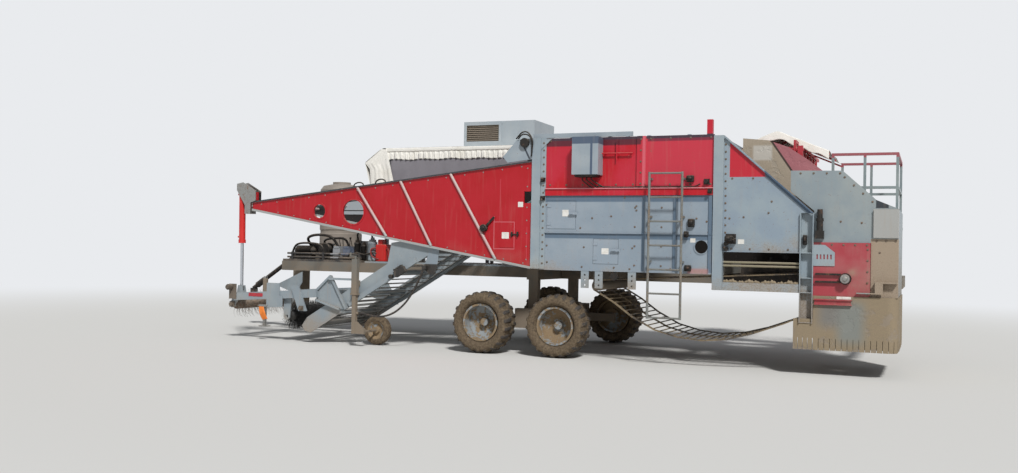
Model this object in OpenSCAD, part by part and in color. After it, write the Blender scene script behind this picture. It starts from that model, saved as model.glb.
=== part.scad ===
// Trailed tomato harvester, drawn at full size in millimetres.
// Front is at minus X, the pickup side is at minus Y, the ground is z = 0.

/* [Overall] */
// Width over the side posts
body_w = 3700; // [3600:20:3800]
// Reach of the discharge conveyor past the right side
reach = 1600; // [1400:20:1800]
// Depth of the ladder and control box outside the left side
side_proud = 200; // [180:10:240]
// Length from the hitch to the tail
machine_l = 12780; // [12700:20:12860]
// Width of the vine chamber and of the boom
chamber_w = 1800; // [1760:10:1840]
// Height of the side panels' lower edge
floor_z = 1350; // [1320:5:1380]
// Height of the gray side panels' upper edge
ledge_z = 2480; // [2440:10:2520]
// Height of the body's upper edge
top_z = 3340; // [3320:5:3380]

/* [Places along the machine] */
// Front face of the front post
front_post_x = 1130; // [1100:5:1160]
// Front face of the rear post
rear_post_x = 3910; // [3880:5:3940]
// Front face of the leg post
leg_post_x = 5110; // [5080:5:5140]
// Centre of the tandem axle
axle_x = 857; // [840:1:880]
// Front end of the boom
boom_tip_x = -4080; // [-4120:5:-4040]

/* [Sheet and sections] */
// Thickness of the side panels
panel_t = 30; // [25:1:35]
// Width of a side post
post_w = 140; // [130:2:150]
// Depth of a side post
post_d = 120; // [110:2:130]
// Wall of a side post
post_t = 12; // [10:1:16]
// Width of a chassis rail
rail_w = 120; // [100:2:140]
// Height of a chassis rail
rail_h = 180; // [160:5:200]

/* [Wheels] */
// Radius of a tyre over its lugs
tyre_r = 490; // [480:2:500]
// Width of a tyre
tyre_w = 450; // [420:5:470]
// Radius of the rim's flange
rim_r = 300; // [290:2:310]
// Distance between the two axles of a walking beam
tandem_l = 1255; // [1240:5:1290]
// Radius of a spindle
spindle_r = 40; // [35:1:45]
// Running clearance round a shaft
fit = 0.05; // [0.02:0.01:0.09]

/* [Header] */
// Radius of the wire reel over its tines
reel_r = 255; // [240:5:265]
// Radius of the sweep brush over its tines
brush_r = 255; // [240:5:260]
// Depth of the elevator's side plates
elev_d = 258; // [240:2:270]
// Radius of the gauge wheel
gauge_r = 245; // [235:1:247]

/* [Hidden] */
$fn = 32;

left_y = -(body_w + reach - side_proud) / 2;
right_y = left_y + body_w;
mid_y = (left_y + right_y) / 2;
tail_x = machine_l / 2;
hitch_x = -machine_l / 2;
inner_y = left_y + chamber_w;
panel_y = left_y + 40;
leg_end_x = leg_post_x + 180;

gray = "#8e9ca8";
post_gray = "#7f9095";
red = "#be1a24";
dark = "#2b2b2b";
steel = "#a8a8a4";
mud = "#a39483";

// Helpers

// A box from its lowest to its highest corner
module block(x, y, z) translate([x[0], y[0], z[0]]) cube([x[1] - x[0], y[1] - y[0], z[1] - z[0]]);

// A plate whose outline lies in the X-Z plane, from y to y + t
module plate(y, t) translate([0, y + t, 0]) rotate([90, 0, 0]) linear_extrude(t) children();

// A round bar along Y
module cross_bar(x, z, y0, y1, r) translate([x, y0, z]) rotate([-90, 0, 0]) cylinder(h = y1 - y0, r = r);

// A round bar along X
module long_bar(y, z, x0, x1, r) translate([x0, y, z]) rotate([0, 90, 0]) cylinder(h = x1 - x0, r = r);

// A round bar between any two points
module rod(p, q, r) {
  d = q - p;
  translate(p) rotate([0, acos(d[2] / norm(d)), atan2(d[1], d[0])]) cylinder(h = norm(d), r = r);
}

// The four corners of a flat bar of width w between two points
function bar_points(a, b, w) =
  let (d = (b - a) / norm(b - a), n = [-d[1], d[0]] * w / 2) [a + n, b + n, b - n, a - n];

// A band of vertical depth t under a line of points
function band(points, t) =
  concat(points, [for (i = [len(points) - 1:-1:0]) points[i] - [0, t]]);

// A line through two points, at x
function on_line(a, b, x) = a[1] + (b[1] - a[1]) * (x - a[0]) / (b[0] - a[0]);

// Chassis

rail_z = floor_z - rail_h;
middle_rail_y = inner_y + 110;
right_rail_y = right_y - 320;
deck_front_x = hitch_x + 1590;
post_in_y = left_y + post_d;
left_rail_y = post_in_y;
// rails: y, front end, rear end, underside
RAILS = [
  [left_rail_y, front_post_x + 10, rear_post_x + post_w, floor_z],
  [middle_rail_y, deck_front_x, tail_x - 10, rail_z],
  [right_rail_y, deck_front_x, tail_x - 10, rail_z]
];
// cross members between the middle rail and the right side: front face, right end
RIGHT_CROSSES = [
  [deck_front_x, right_rail_y], [-3000, right_y - 60], [-2000, right_y - 60], [-150, right_y - 60],
  [front_post_x + 10, right_y - post_d], [2500, right_y - post_d - 60], [rear_post_x + 10, right_y - post_d],
  [leg_post_x + 30, right_y - post_d], [tail_x - 130, right_rail_y]
];
// cross members over the bottom chain: front face
CHAMBER_CROSSES = [front_post_x + 10, 2500, rear_post_x - 20];
axle_z = 620;
axle_tube = 120;
leg_offset = 950;
// front roller of the bottom chain
front_roller = [2170, 1130];
chain_y0 = left_y + 150;
chain_y1 = inner_y - 50;
roller_r = 70;
// the front roller's shaft hangs on two plates
hanger_w = 120;
hanger_t = 20;

module main_frame() color(post_gray)
  for (r = [RAILS[1], RAILS[2]]) block([r[1], r[2]], [r[0], r[0] + rail_w], [r[3], r[3] + rail_h]);

// Cross members between the rails, their ends outside the right rail, and the axle's right leg
module cross_members() color(post_gray) {
  for (c = RIGHT_CROSSES) {
    block([c[0], c[0] + rail_w], [middle_rail_y + rail_w, right_rail_y], [rail_z, floor_z]);
    if (c[1] > right_rail_y + rail_w)
      block([c[0], c[0] + rail_w], [right_rail_y + rail_w, c[1]], [rail_z, floor_z]);
  }
  leg_y = mid_y + leg_offset;
  block([axle_x - 80, axle_x + 80], [leg_y - 60, leg_y + 60], [axle_z + axle_tube / 2, rail_z]);
  block([axle_x - 100, axle_x + 100], [middle_rail_y + rail_w, right_rail_y], [rail_z, floor_z]);
}

// The left rail, the cross members over the bottom chain and the chain's front roller
module chamber_frame() color(post_gray) {
  block([RAILS[0][1], RAILS[0][2]], [left_rail_y, left_rail_y + rail_w], [floor_z, floor_z + rail_h]);
  for (x = CHAMBER_CROSSES)
    block([x, x + rail_w], [left_rail_y, middle_rail_y + rail_w], [floor_z, floor_z + rail_h]);
  block([axle_x - 100, axle_x + 100], [mid_y - leg_offset - 100, middle_rail_y], [rail_z, floor_z]);
  block([axle_x - 80, axle_x + 80], [mid_y - leg_offset - 60, mid_y - leg_offset + 60],
    [axle_z + axle_tube / 2, rail_z]);
  for (y = [left_rail_y, middle_rail_y - hanger_t])
    block([front_roller[0] - hanger_w / 2, front_roller[0] + hanger_w / 2], [y, y + hanger_t],
      [front_roller[1] - 70, floor_z]);
  cross_bar(front_roller[0], front_roller[1], left_rail_y + hanger_t, middle_rail_y - hanger_t, 30);
  cross_bar(front_roller[0], front_roller[1], chain_y0, chain_y1, roller_r);
}

wheel_z = tyre_r;
beam_in = 1100;
beam_t = 130;
hub_gap = 30;
tyre_in = beam_in + beam_t + hub_gap + 20;
hub_in = beam_in + beam_t + hub_gap;

// One side's walking beam with its two spindles; s is -1 on the left and 1 on the right
module walking_beam(s) {
  translate([axle_x, mid_y, 0]) {
    rotate([0, 0, s > 0 ? 0 : 180]) {
      block([-tandem_l / 2 - 90, tandem_l / 2 + 90], [beam_in, beam_in + beam_t],
        [wheel_z - 90, wheel_z + 50]);
      block([-220, 220], [beam_in, beam_in + beam_t], [wheel_z - 90, axle_z + 90]);
      for (e = [-1, 1]) {
        cross_bar(e * tandem_l / 2, wheel_z, beam_in + beam_t, hub_in, 75);
        cross_bar(e * tandem_l / 2, wheel_z, hub_in, hub_in + 230, spindle_r);
      }
    }
  }
}

module axle_beams() color(post_gray) {
  block([axle_x - 60, axle_x + 60], [mid_y - beam_in, mid_y + beam_in],
    [axle_z - axle_tube / 2, axle_z + axle_tube / 2]);
  for (s = [-1, 1]) walking_beam(s);
}

hitch_y = 500;
hitch_z = 500;
pole_h = 200;
neck_x = deck_front_x - 180;
neck_y = (middle_rail_y + right_rail_y + rail_w) / 2;
pin_r = 20.5;
jack_x = hitch_x + 740;
jack_y = 0;
sleeve_r = 52;
leg_r = 38;

module tongue() color(post_gray) {
  slant = atan2(hitch_y - neck_y, hitch_x + 150 - neck_x);
  pole_l = norm([hitch_x + 150 - neck_x, hitch_y - neck_y]);
  difference() {
    union() {
      block([neck_x, deck_front_x], [neck_y - 160, neck_y + 160], [hitch_z - pole_h / 2, floor_z]);
      translate([neck_x + 20, neck_y, hitch_z - pole_h / 2]) rotate([0, 0, slant])
        translate([0, -90, 0]) cube([pole_l, 180, pole_h]);
      for (z = [hitch_z - 55, hitch_z + 30])
        block([hitch_x, hitch_x + 260], [hitch_y - 50, hitch_y + 50], [z, z + 25]);
      translate([jack_x, jack_y, hitch_z - 110]) cylinder(h = 580, r = sleeve_r);
      block([jack_x - 40, jack_x + 40], [jack_y, hitch_y - 150], [hitch_z - 60, hitch_z + 60]);
    }
    translate([hitch_x + 50, hitch_y, hitch_z - 100]) cylinder(h = 200, r = pin_r);
    translate([jack_x, jack_y, 0]) cylinder(h = 1100, r = leg_r + fit);
    block([hitch_x - 10, hitch_x + 150], [hitch_y - 60, hitch_y + 60], [hitch_z - 30, hitch_z + 30]);
  }
}

module jack_leg() color(steel) {
  translate([jack_x, jack_y, 0]) cylinder(h = 15, r = 120);
  translate([jack_x, jack_y, 10]) cylinder(h = 1000, r = leg_r);
}

// Wheels

// A tyre's section: distance from the axle, then across
lug_h = 22;
lug_count = 22;
function tyre_profile(r, bead, w) = [
  [bead, 0.16 * w], [bead + 22, 0.16 * w], [bead + 22, 0.06 * w], [bead + 0.5 * (r - bead), 0],
  [r - 0.25 * (r - bead), 0.03 * w], [r - lug_h, 0.13 * w], [r - lug_h, 0.87 * w],
  [r - 0.25 * (r - bead), 0.97 * w], [bead + 0.5 * (r - bead), w],
  [bead + 22, 0.94 * w], [bead + 22, 0.84 * w], [bead, 0.84 * w]
];

module tyre_at(s, e) color(dark) {
  translate([axle_x + e * tandem_l / 2, mid_y + s * (tyre_in + tyre_w / 2), wheel_z])
    rotate([-90 * s, 0, 0]) {
    translate([0, 0, -tyre_w / 2]) {
      rotate_extrude($fn = 64) polygon(tyre_profile(tyre_r, rim_r - 20, tyre_w));
      for (i = [0:lug_count - 1]) rotate([0, 0, i * 360 / lug_count])
        translate([tyre_r - 2 * lug_h, -23, (i % 2 == 0 ? 0.15 : 0.47) * tyre_w])
          cube([2 * lug_h - 2, 46, 0.38 * tyre_w]);
    }
  }
}

// Rim section: barrel with two flanges and a disc set back from the outer edge
module rim_at(s, e) color(gray) {
  b = rim_r - 20;
  w = 0.16 * tyre_w;
  translate([axle_x + e * tandem_l / 2, mid_y + s * tyre_in, wheel_z]) rotate([-90 * s, 0, 0])
    difference() {
      union() {
        rotate_extrude($fn = 64) polygon([
          [b, w], [b, tyre_w - w], [b + 18, tyre_w - w + 2], [b + 18, tyre_w - w + 14],
            [b - 14, tyre_w - w + 14],
          [b - 14, 0.42 * tyre_w], [120, 0.34 * tyre_w], [120, 0.34 * tyre_w - 14],
            [b - 14, 0.42 * tyre_w - 16],
          [b - 14, w - 14], [b + 18, w - 14], [b + 18, w - 2]
        ]);
        translate([0, 0, -20]) cylinder(h = 0.34 * tyre_w + 30, r = 130);
        translate([0, 0, 0.34 * tyre_w]) cylinder(h = 85, r = 62);
        for (a = [0:45:315]) rotate([0, 0, a]) translate([98, 0, 0.34 * tyre_w])
          cylinder(h = 28, r = 12, $fn = 6);
      }
      translate([0, 0, -30]) cylinder(h = 250 - 10, r = spindle_r + fit);
    }
}

module tyre_front_left() tyre_at(-1, -1);
module tyre_rear_left() tyre_at(-1, 1);
module tyre_front_right() tyre_at(1, -1);
module tyre_rear_right() tyre_at(1, 1);
module rim_front_left() rim_at(-1, -1);
module rim_rear_left() rim_at(-1, 1);
module rim_front_right() rim_at(1, -1);
module rim_rear_right() rim_at(1, 1);

// Body sides

strip_w = 80;

// A folded post: web outside, two flanges inwards and a bolting strip behind it
module post(x, z0, z1) {
  block([x, x + post_w], [left_y, left_y + post_t], [z0, z1]);
  for (e = [0, post_w - post_t]) block([x + e, x + e + post_t], [left_y, left_y + post_d], [z0, z1]);
}

// An open channel whose flanges point outwards, with cross plates
module leg_post() {
  block([leg_post_x, leg_end_x], [left_y + post_d - post_t, left_y + post_d], [720, 2230]);
  for (x = [leg_post_x, leg_end_x - post_t]) block([x, x + post_t], [left_y, left_y + post_d], [720, 2230]);
  for (z = [720, 1130, 1330, 1675]) block([leg_post_x, leg_end_x], [left_y + 20, left_y + post_d],
    [z, z + post_t]);
}

module side_posts() {
  post(front_post_x, floor_z + 15, top_z + 20);
  block([front_post_x + post_w, front_post_x + post_w + strip_w], [left_y + 28, panel_y],
    [floor_z + 15, top_z + 20]);
  post(rear_post_x, 1130, top_z - 10);
  leg_post();
  block([rear_post_x + post_w, leg_post_x], [left_y + 20, left_y + 100], [1130, 1250]);
}

// hanging bracket plates under the left side: front edge
HANGERS = [rear_post_x - 1973, rear_post_x - 1754, rear_post_x - 1245];
module left_posts() color(post_gray) {
  side_posts();
  for (z = [1480, 1530]) long_bar(left_y + 90, z, rear_post_x + post_w, leg_post_x, 16);
  plate(left_y + 16, 12) polygon([[panel_x0, top_z - 160], [panel_x0 + 170, top_z], [panel_x0, top_z]]);
  for (x = HANGERS) difference() {
    block([x, x + 120], [panel_y + 5, panel_y + 25], [floor_z - 255, floor_z]);
    for (z = [floor_z - 60, floor_z - 130, floor_z - 210]) cross_bar(x + 60, z, panel_y, panel_y + 30, 14);
  }
  difference() {
    plate(hood_y0 - 36, 12) polygon([[leg_end_x, 1508], [5569, 1508], [5569, 1694], [5440, 1796],
      [leg_end_x, 1796]]);
    for (i = [0:4]) block([5330 + i * 45, 5350 + i * 45], [hood_y0 - 40, hood_y0 - 20], [1600, 1665]);
  }
}

panel_x0 = front_post_x + post_w;
panel_x1 = rear_post_x;
lip_z = 1913;
// doors: hinge side x, far side x, bottom, top
DOOR_UPPER = [1372, 1842, lip_z + 60, ledge_z - 78];
DOOR_LOWER = [2120, 2515, floor_z + 108, lip_z - 79];
door_gap = 5;

// folded stiffeners outside the gray panel: front edge
STIFFENERS = [rear_post_x - 1020, rear_post_x - 575, rear_post_x - 65];
// round port: x, z, radius
PORT = [rear_post_x - 165, 1738, 95];

module door_opening(d) block([d[0], d[1]], [left_y, left_y + 200], [d[2], d[3]]);

module gray_panel() {
  block([panel_x0, panel_x1], [panel_y, panel_y + panel_t], [floor_z, ledge_z]);
  block([panel_x0, panel_x1], [panel_y, panel_y + 70], [floor_z, floor_z + 12]);
  block([panel_x0 + strip_w, panel_x1], [panel_y - 25, panel_y], [lip_z, lip_z + 14]);
  for (x = STIFFENERS) block([x, x + 50], [panel_y - 18, panel_y], [floor_z, lip_z]);
  for (x = STIFFENERS) block([x, x + 50], [panel_y - 18, panel_y], [lip_z + 14, ledge_z]);
}

module left_gray_panel() color(gray) {
  difference() {
    gray_panel();
    door_opening(DOOR_UPPER);
    door_opening(DOOR_LOWER);
    cross_bar(PORT[0], PORT[1], panel_y - 5, panel_y + panel_t + 5, PORT[2]);
  }
  difference() {
    cross_bar(PORT[0], PORT[1], panel_y - 12, panel_y, PORT[2] + 12);
    cross_bar(PORT[0], PORT[1], panel_y - 15, panel_y + 5, PORT[2]);
  }
}

module door(d) color(gray) {
  block([d[0] + door_gap, d[1] - door_gap], [panel_y, panel_y + panel_t], [d[2] + door_gap, d[3] - door_gap]);
  // latch: a boss on the door and a bar across the seam
  mid = (d[2] + d[3]) / 2 + 25;
  cross_bar(d[1] - 70, mid, panel_y - 30, panel_y, 22);
  block([d[1] - 100, d[1] + 35], [panel_y - 44, panel_y - 30], [mid - 14, mid + 14]);
  for (z = [d[2] + 60, d[3] - 100]) block([d[0] + door_gap, d[0] + 70], [panel_y - 8, panel_y], [z, z + 40]);
}
module door_upper() door(DOOR_UPPER);
module door_lower() door(DOOR_LOWER);

ledge_h = 110;
module red_panel() {
  block([panel_x0, panel_x1], [panel_y, panel_y + panel_t], [ledge_z + ledge_h, top_z + 10]);
  block([panel_x0 + strip_w, panel_x1], [panel_y - 25, panel_y + panel_t], [ledge_z, ledge_z + ledge_h]);
  block([panel_x0, panel_x0 + strip_w], [panel_y, panel_y + panel_t], [ledge_z, ledge_z + ledge_h]);
  block([2780, 2905], [panel_y - 35, panel_y], [ledge_z + ledge_h, top_z + 10]);
  block([panel_x0 + strip_w, panel_x1], [panel_y - 45, panel_y - 25],
    [ledge_z + ledge_h - 12, ledge_z + ledge_h]);
}
stub_post_x = rear_post_x - 110;
module left_red_panel() color(red) {
  red_panel();
  block([stub_post_x, stub_post_x + 80], [panel_y, panel_y + 80], [top_z + 10, top_z + 225]);
  // lamp bracket: a bar and an upright held off the panel
  long_bar(panel_y - 45, 3100, 2250, 2720, 12);
  translate([2475, panel_y - 45, 2995]) cylinder(h = 315, r = 10);
  for (x = [2300, 2690]) cross_bar(x, 3100, panel_y - 45, panel_y, 9);
}

rear_x0 = rear_post_x + post_w;
slope_top = [rear_x0 + 20, top_z - 25];
slope_foot = [leg_end_x, 2230];
window_z = 1675;
module rear_panel(top) plate(panel_y, panel_t) polygon([
  [rear_x0, window_z], [leg_post_x, window_z], [leg_post_x, 2230], slope_foot,
  [slope_top[0], top], [rear_x0, top]
]);
// flange along the sloping edge and along the window
module rear_side_panel() color(gray) {
  rear_panel(slope_top[1]);
  plate(panel_y - 40, 40) polygon([slope_foot - [29, 0], slope_foot, slope_top, slope_top - [0, 26]]);
  block([rear_x0, leg_post_x], [panel_y - 25, panel_y], [window_z, window_z + 12]);
}

// Mirrors a left-hand form to the right-hand side
module to_right() translate([0, 2 * mid_y, 0]) mirror([0, 1, 0]) children();

module right_wall() color(gray) to_right() {
  side_posts();
  gray_panel();
  rear_panel(disch_z - 30);
}
module right_red_panel() color(red) to_right() red_panel();

module front_wall() color(gray)
  block([panel_x0, panel_x0 + panel_t], [inner_y, right_y - post_d], [floor_z, top_z - 30]);

module top_cover() color(gray) {
  block([front_post_x + 20, rear_post_x + 80], [post_in_y, right_y - post_d], [top_z - 30, top_z]);
  for (x = [1700, 2300, 2900, 3500]) block([x, x + 50], [post_in_y, right_y - post_d], [top_z, top_z + 30]);
}

module chamber_wall() color(mud) plate(inner_y - panel_t, panel_t) polygon([
  [front_post_x, floor_z + rail_h], [leg_end_x, floor_z + rail_h], [leg_end_x, 2900],
    [leg_post_x - 110, 3130],
  for (s = [[0.63, 3330], [0.35, 3440]]) [rear_post_x + 100 + s[0] * (leg_post_x - rear_post_x - 100), s[1]],
  [rear_post_x + 100, 3480], [rear_post_x + 100, top_z - 30], [front_post_x, top_z - 30]
]);

// Tail

tail_l = tail_x - leg_end_x;
// A place in the tail, as a share of its length behind the leg post
function tail_at(s) = leg_end_x + s * tail_l;
HOOD = [[leg_post_x - 140, 2820], [tail_at(0.33), 2810], [tail_at(0.727), 2410], [tail_x - 15, 2290],
  [tail_x - 15, 1100]];
hood_y0 = panel_y + panel_t;
hood_y1 = inner_y - panel_t;
hood_t = 24;
red_x0 = leg_end_x;
red_x1 = tail_at(0.673);
red_z1 = 1830;
module hood_side() polygon([
  HOOD[0], HOOD[1], HOOD[2], HOOD[3], HOOD[4], [red_x1, 1100], [red_x1, red_z1], [red_x0, red_z1],
  [red_x0, 2260], [leg_post_x - 140, 2530]
]);
module rear_hood() color(gray) {
  plate(hood_y0, hood_t) hood_side();
  plate(hood_y1 - hood_t, hood_t) hood_side();
  plate(hood_y0, hood_y1 - hood_y0) polygon(band([HOOD[0], HOOD[1], HOOD[2], HOOD[3]], hood_t));
  block([tail_x - 15 - hood_t, tail_x - 15], [hood_y0, hood_y1], [1100, 2290]);
  block([tail_at(0.7), tail_x - 15], [hood_y0 - 40, hood_y0], [1900, 2280]);
  // step bracket at the tail's corner
  step_x = tail_at(0.727);
  block([tail_at(0.514), step_x + 100], [hood_y0 - 90, hood_y0 - 38], [1145, 1160]);
  block([step_x, step_x + 100], [hood_y0 - 90, hood_y0 - 38], [1160, 1290]);
  block([step_x, tail_x - 20], [hood_y0 - 90, hood_y0 - 38], [1290, 1310]);
  block([step_x, tail_x - 20], [hood_y0 - 38, hood_y0], [1290, 1310]);
}

module rear_red_panels() color(red) {
  tail_flanges();
  for (y = [hood_y0 - 24, hood_y1]) tail_side(y);
}
module tail_side(y) difference() {
  plate(y, 24) polygon([
    [red_x0, 960], [flange_x1, 980], [red_x1 - 5, 1120], [red_x1 - 5, red_z1], [red_x0, red_z1]
  ]);
  cross_bar(tail_roller[0], tail_roller[1], y - 5, y + 29, tail_shaft_r + 4);
}

// folded flanges along the lower edge of the red tail panel, on the pickup side
flange_x1 = tail_at(0.464);
module tail_flanges() {
  y0 = hood_y0 - 24 - skirt_t;
  for (z = [980, 1045]) block([red_x0 + 20, flange_x1], [y0 - 40, y0], [z, z + 14]);
}

tail_roller = [tail_at(0.384), 1340];
tail_shaft_r = 35;
// the tail drive's two sides: inner face of the housing, of the guide bars and of the bolt heads
TAIL_SIDES = [[hood_y0 - 84, hood_y0 - 64, hood_y0 - 94], [hood_y1 + 24, hood_y1 + 24, hood_y1 + 83]];
// the tail roller's shaft with a bearing housing and its two guide bars on each side
module tail_drive() color(dark) {
  cross_bar(tail_roller[0], tail_roller[1], hood_y0 - 120, hood_y1 + 100, tail_shaft_r);
  cross_bar(tail_roller[0], tail_roller[1], chain_y0, chain_y1, roller_r);
  for (side = TAIL_SIDES) {
    cross_bar(tail_roller[0], tail_roller[1], side[0], side[0] + 60, 78);
    for (z = [tail_roller[1] - 60, tail_roller[1] + 45])
      block([red_x0 + 30, tail_roller[0] - 60], [side[1], side[1] + 40], [z, z + 25]);
    for (a = [0:60:300])
      cross_bar(tail_roller[0] + 62 * cos(a), tail_roller[1] + 62 * sin(a), side[2], side[2] + 11, 9);
  }
}

skirt_z = 360;
skirt_t = 14;
skirt_corner = 150;
module skirt_plan(x0, x1, y0, y1, r) {
  translate([x0, y0]) square([x1 - r - x0, y1 - y0]);
  translate([x1 - r - 1, y0 + r]) square([r + 1, y1 - y0 - 2 * r]);
  for (y = [y0 + r, y1 - r]) translate([x1 - r, y]) circle(r);
}
// the lower edge is cut into strips: how high, how wide a strip, how wide a cut
slit_h = 150;
slit_pitch = 75;
slit_w = 5;
module tail_skirt() color(mud) {
  y0 = hood_y0 - 24 - skirt_t;
  y1 = hood_y1 + 24 + skirt_t;
  difference() {
    translate([0, 0, skirt_z]) linear_extrude(1100 - skirt_z)
      skirt_plan(leg_end_x + 5, tail_x, y0, y1, skirt_corner);
    translate([0, 0, skirt_z - 10]) linear_extrude(1120 - skirt_z)
      skirt_plan(leg_end_x, tail_x - skirt_t, y0 + skirt_t, y1 - skirt_t, skirt_corner - skirt_t);
    for (x = [leg_end_x + slit_pitch:slit_pitch:tail_x - skirt_corner], y = [y0, y1 - skirt_t])
      block([x, x + slit_w], [y - 5, y + skirt_t + 5], [skirt_z - 5, skirt_z + slit_h]);
    for (y = [y0 + skirt_corner:slit_pitch:y1 - skirt_corner])
      block([tail_x - skirt_t - 5, tail_x + 5], [y, y + slit_w], [skirt_z - 5, skirt_z + slit_h]);
  }
}

// A hanging chain loop: three belts joined by rods, hung over two rollers
chain_pitch = 100;
belt_t = 16;
belt_w = 60;
chain_turn = 85;
function turn(c, a0, a1, n) = [for (i = [0:n]) c +
  chain_turn * [cos(a0 + (a1 - a0) * i / n), sin(a0 + (a1 - a0) * i / n)]];
// the lower run between the rollers: share of the distance, height
SAG_RUN = [[0.071, 890], [0.15, 690], [0.248, 510], [0.347, 420], [0.446, 390], [0.545, 425],
  [0.644, 520], [0.771, 690], [0.898, 900]];
SAG = [for (s = SAG_RUN) [front_roller[0] + s[0] * (tail_roller[0] - front_roller[0]), s[1]]];
CHAIN_LOOP = concat(turn(front_roller, 90, 230, 5), SAG, turn(tail_roller, -60, 90, 5),
  [front_roller + [0, chain_turn]]);

// The point at distance s along a line of points
function along(points, s, i = 0) =
  let (d = norm(points[i + 1] - points[i]))
    (s <= d || i >= len(points) - 2) ? points[i] + (points[i + 1] - points[i]) * min(s / d, 1)
      : along(points, s - d, i + 1);
function path_length(points, i = 0) =
  i >= len(points) - 1 ? 0 : norm(points[i + 1] - points[i]) + path_length(points, i + 1);

module bottom_chain() color(mud) {
  for (y = [chain_y0, (chain_y0 + chain_y1 - belt_w) / 2, chain_y1 - belt_w])
    for (i = [0:len(CHAIN_LOOP) - 2])
      plate(y, belt_w) polygon(bar_points(CHAIN_LOOP[i], CHAIN_LOOP[i + 1], belt_t));
  for (s = [60:chain_pitch:path_length(CHAIN_LOOP) - 60]) {
    p = along(CHAIN_LOOP, s);
    cross_bar(p[0], p[1], chain_y0, chain_y1, 9);
  }
}

// the ladder's two rails, and the distance between its rungs
LADDER_X = [rear_post_x - 900, rear_post_x - 420];
rung_pitch = 347;
module ladder() color(steel) {
  rail_y = panel_y - 160;
  for (x = LADDER_X) {
    translate([x, rail_y, 690]) cylinder(h = 2120, r = 18);
    for (z = [1500, 2150, 2700]) block([x - 12, x + 12], [rail_y, panel_y], [z, z + 30]);
  }
  for (i = [0:6]) long_bar(rail_y, 708 + i * rung_pitch, LADDER_X[0], LADDER_X[1], 14);
}

module control_box() color(gray) block([1840, 2250], [panel_y - 230, panel_y], [2780, top_z]);

// Boom

BOOM_BOTTOM = [[boom_tip_x, 2270], [front_post_x, 1395]];
BOOM_TOP = [[boom_tip_x, 2370], [front_post_x, 2994]];
boom_left_y = panel_y - 10;
boom_t = 30;
boom_right_y = inner_y - boom_t;
flange_t = 36;
pivot = [346, 1976];
pivot_r = 45;
// holes in the boom: x, z, radius
BOOM_HOLES = [[-2710, 2230, 115], [-2050, 2220, 200]];

module boom_outline() polygon([BOOM_BOTTOM[0], BOOM_BOTTOM[1], BOOM_TOP[1], BOOM_TOP[0]]);
module boom_panels() color(red) {
  for (y = [boom_left_y, boom_right_y]) difference() {
    plate(y, boom_t) boom_outline();
    for (h = BOOM_HOLES) cross_bar(h[0], h[1], y - 10, y + boom_t + 10, h[2]);
    cross_bar(pivot[0], pivot[1], y - 10, y + boom_t + 10, pivot_r + fit);
    if (y == boom_left_y) block([998, 1130], [y - 5, y + boom_t + 5], [2366, 2546]);
  }
  // hatch plate near the boom's rear end
  block([600, 860], [boom_left_y - 6, boom_left_y], [1682, 2086]);
  block([boom_tip_x - 90, boom_tip_x + 100], [cyl_y - 60, cyl_y + 60], [2410, 2556]);
}

// diagonal tubes on the boom's face: top x, foot x
DIAGONALS = [[-1970, -1400], [-1160, -580], [-260, 545]];
// cross tubes between the boom's sides: x, height under the top edge
BOOM_TIES = [[-3900, 50], [-3300, 60], [-2400, 60], [-1500, 60], [-600, 60], [300, 60], [1000, 60]];
cyl_top = [-4330, 2640];
cyl_y = left_y + 60;
cyl_pin_r = 25;
module boom_frame() color(steel) {
  for (y = [boom_left_y - 30, boom_right_y]) {
    plate(y, boom_t + 30) polygon(band(BOOM_BOTTOM, flange_t));
    plate(y, boom_t + 30) polygon(band([for (p = BOOM_TOP) p + [0, 24]], 24));
  }
  for (t = BOOM_TIES)
    cross_bar(t[0], on_line(BOOM_TOP[0], BOOM_TOP[1], t[0]) - t[1], boom_left_y + boom_t, boom_right_y, 24);
  for (d = DIAGONALS) {
    top = [d[0], boom_left_y - 22, on_line(BOOM_TOP[0], BOOM_TOP[1], d[0])];
    foot = [d[1], boom_left_y - 22, on_line(BOOM_BOTTOM[0], BOOM_BOTTOM[1], d[1])];
    rod(top, foot, 22);
  }
  cross_bar(pivot[0], pivot[1], boom_left_y - 60, boom_right_y + boom_t + 60, pivot_r);
  for (h = BOOM_HOLES) difference() {
    cross_bar(h[0], h[1], boom_left_y - 8, boom_left_y, h[2] + 22);
    cross_bar(h[0], h[1], boom_left_y - 12, boom_left_y + 4, h[2]);
  }
  block([boom_tip_x - 16, boom_tip_x], [boom_left_y, boom_right_y + boom_t], [2308, 2368]);
}

// Bracket at the boom's tip that the lift cylinder hangs from
module boom_bracket() color(steel) {
  for (y = [cyl_y - 80, cyl_y + 60]) plate(y, 20) polygon([
    [boom_tip_x - 16, 2180], [boom_tip_x - 16, 2375], [boom_tip_x + 90, 2410], [boom_tip_x + 90, 2575],
      [-4265, 2725],
    [-4390, 2700], [-4390, 2590], [-4215, 2330], [-4215, 2180]
  ]);
  block([-4215, boom_tip_x - 16], [cyl_y - 60, cyl_y + 60], [2180, 2230]);
  block([boom_tip_x - 40, boom_tip_x - 16], [cyl_y - 60, cyl_y + 60], [2230, 2375]);
  cross_bar(cyl_top[0], cyl_top[1], cyl_y - 80, cyl_y + 80, cyl_pin_r);
}

module front_head() color(gray) {
  for (y = [boom_left_y - 20, inner_y - 20])
    plate(y, 20) polygon([[720, 2990], [front_post_x, 3040], [front_post_x, top_z + 20], [870, top_z],
      [640, 3080]]);
  cross_bar(900, 3170, boom_left_y, inner_y - 20, 60);
  block([front_post_x, 2700], [panel_y, panel_y + 40], [top_z + 20, top_z + 85]);
  block([2600, 2650], [panel_y, panel_y + panel_t], [top_z + 10, top_z + 20]);
}

// Header

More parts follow.
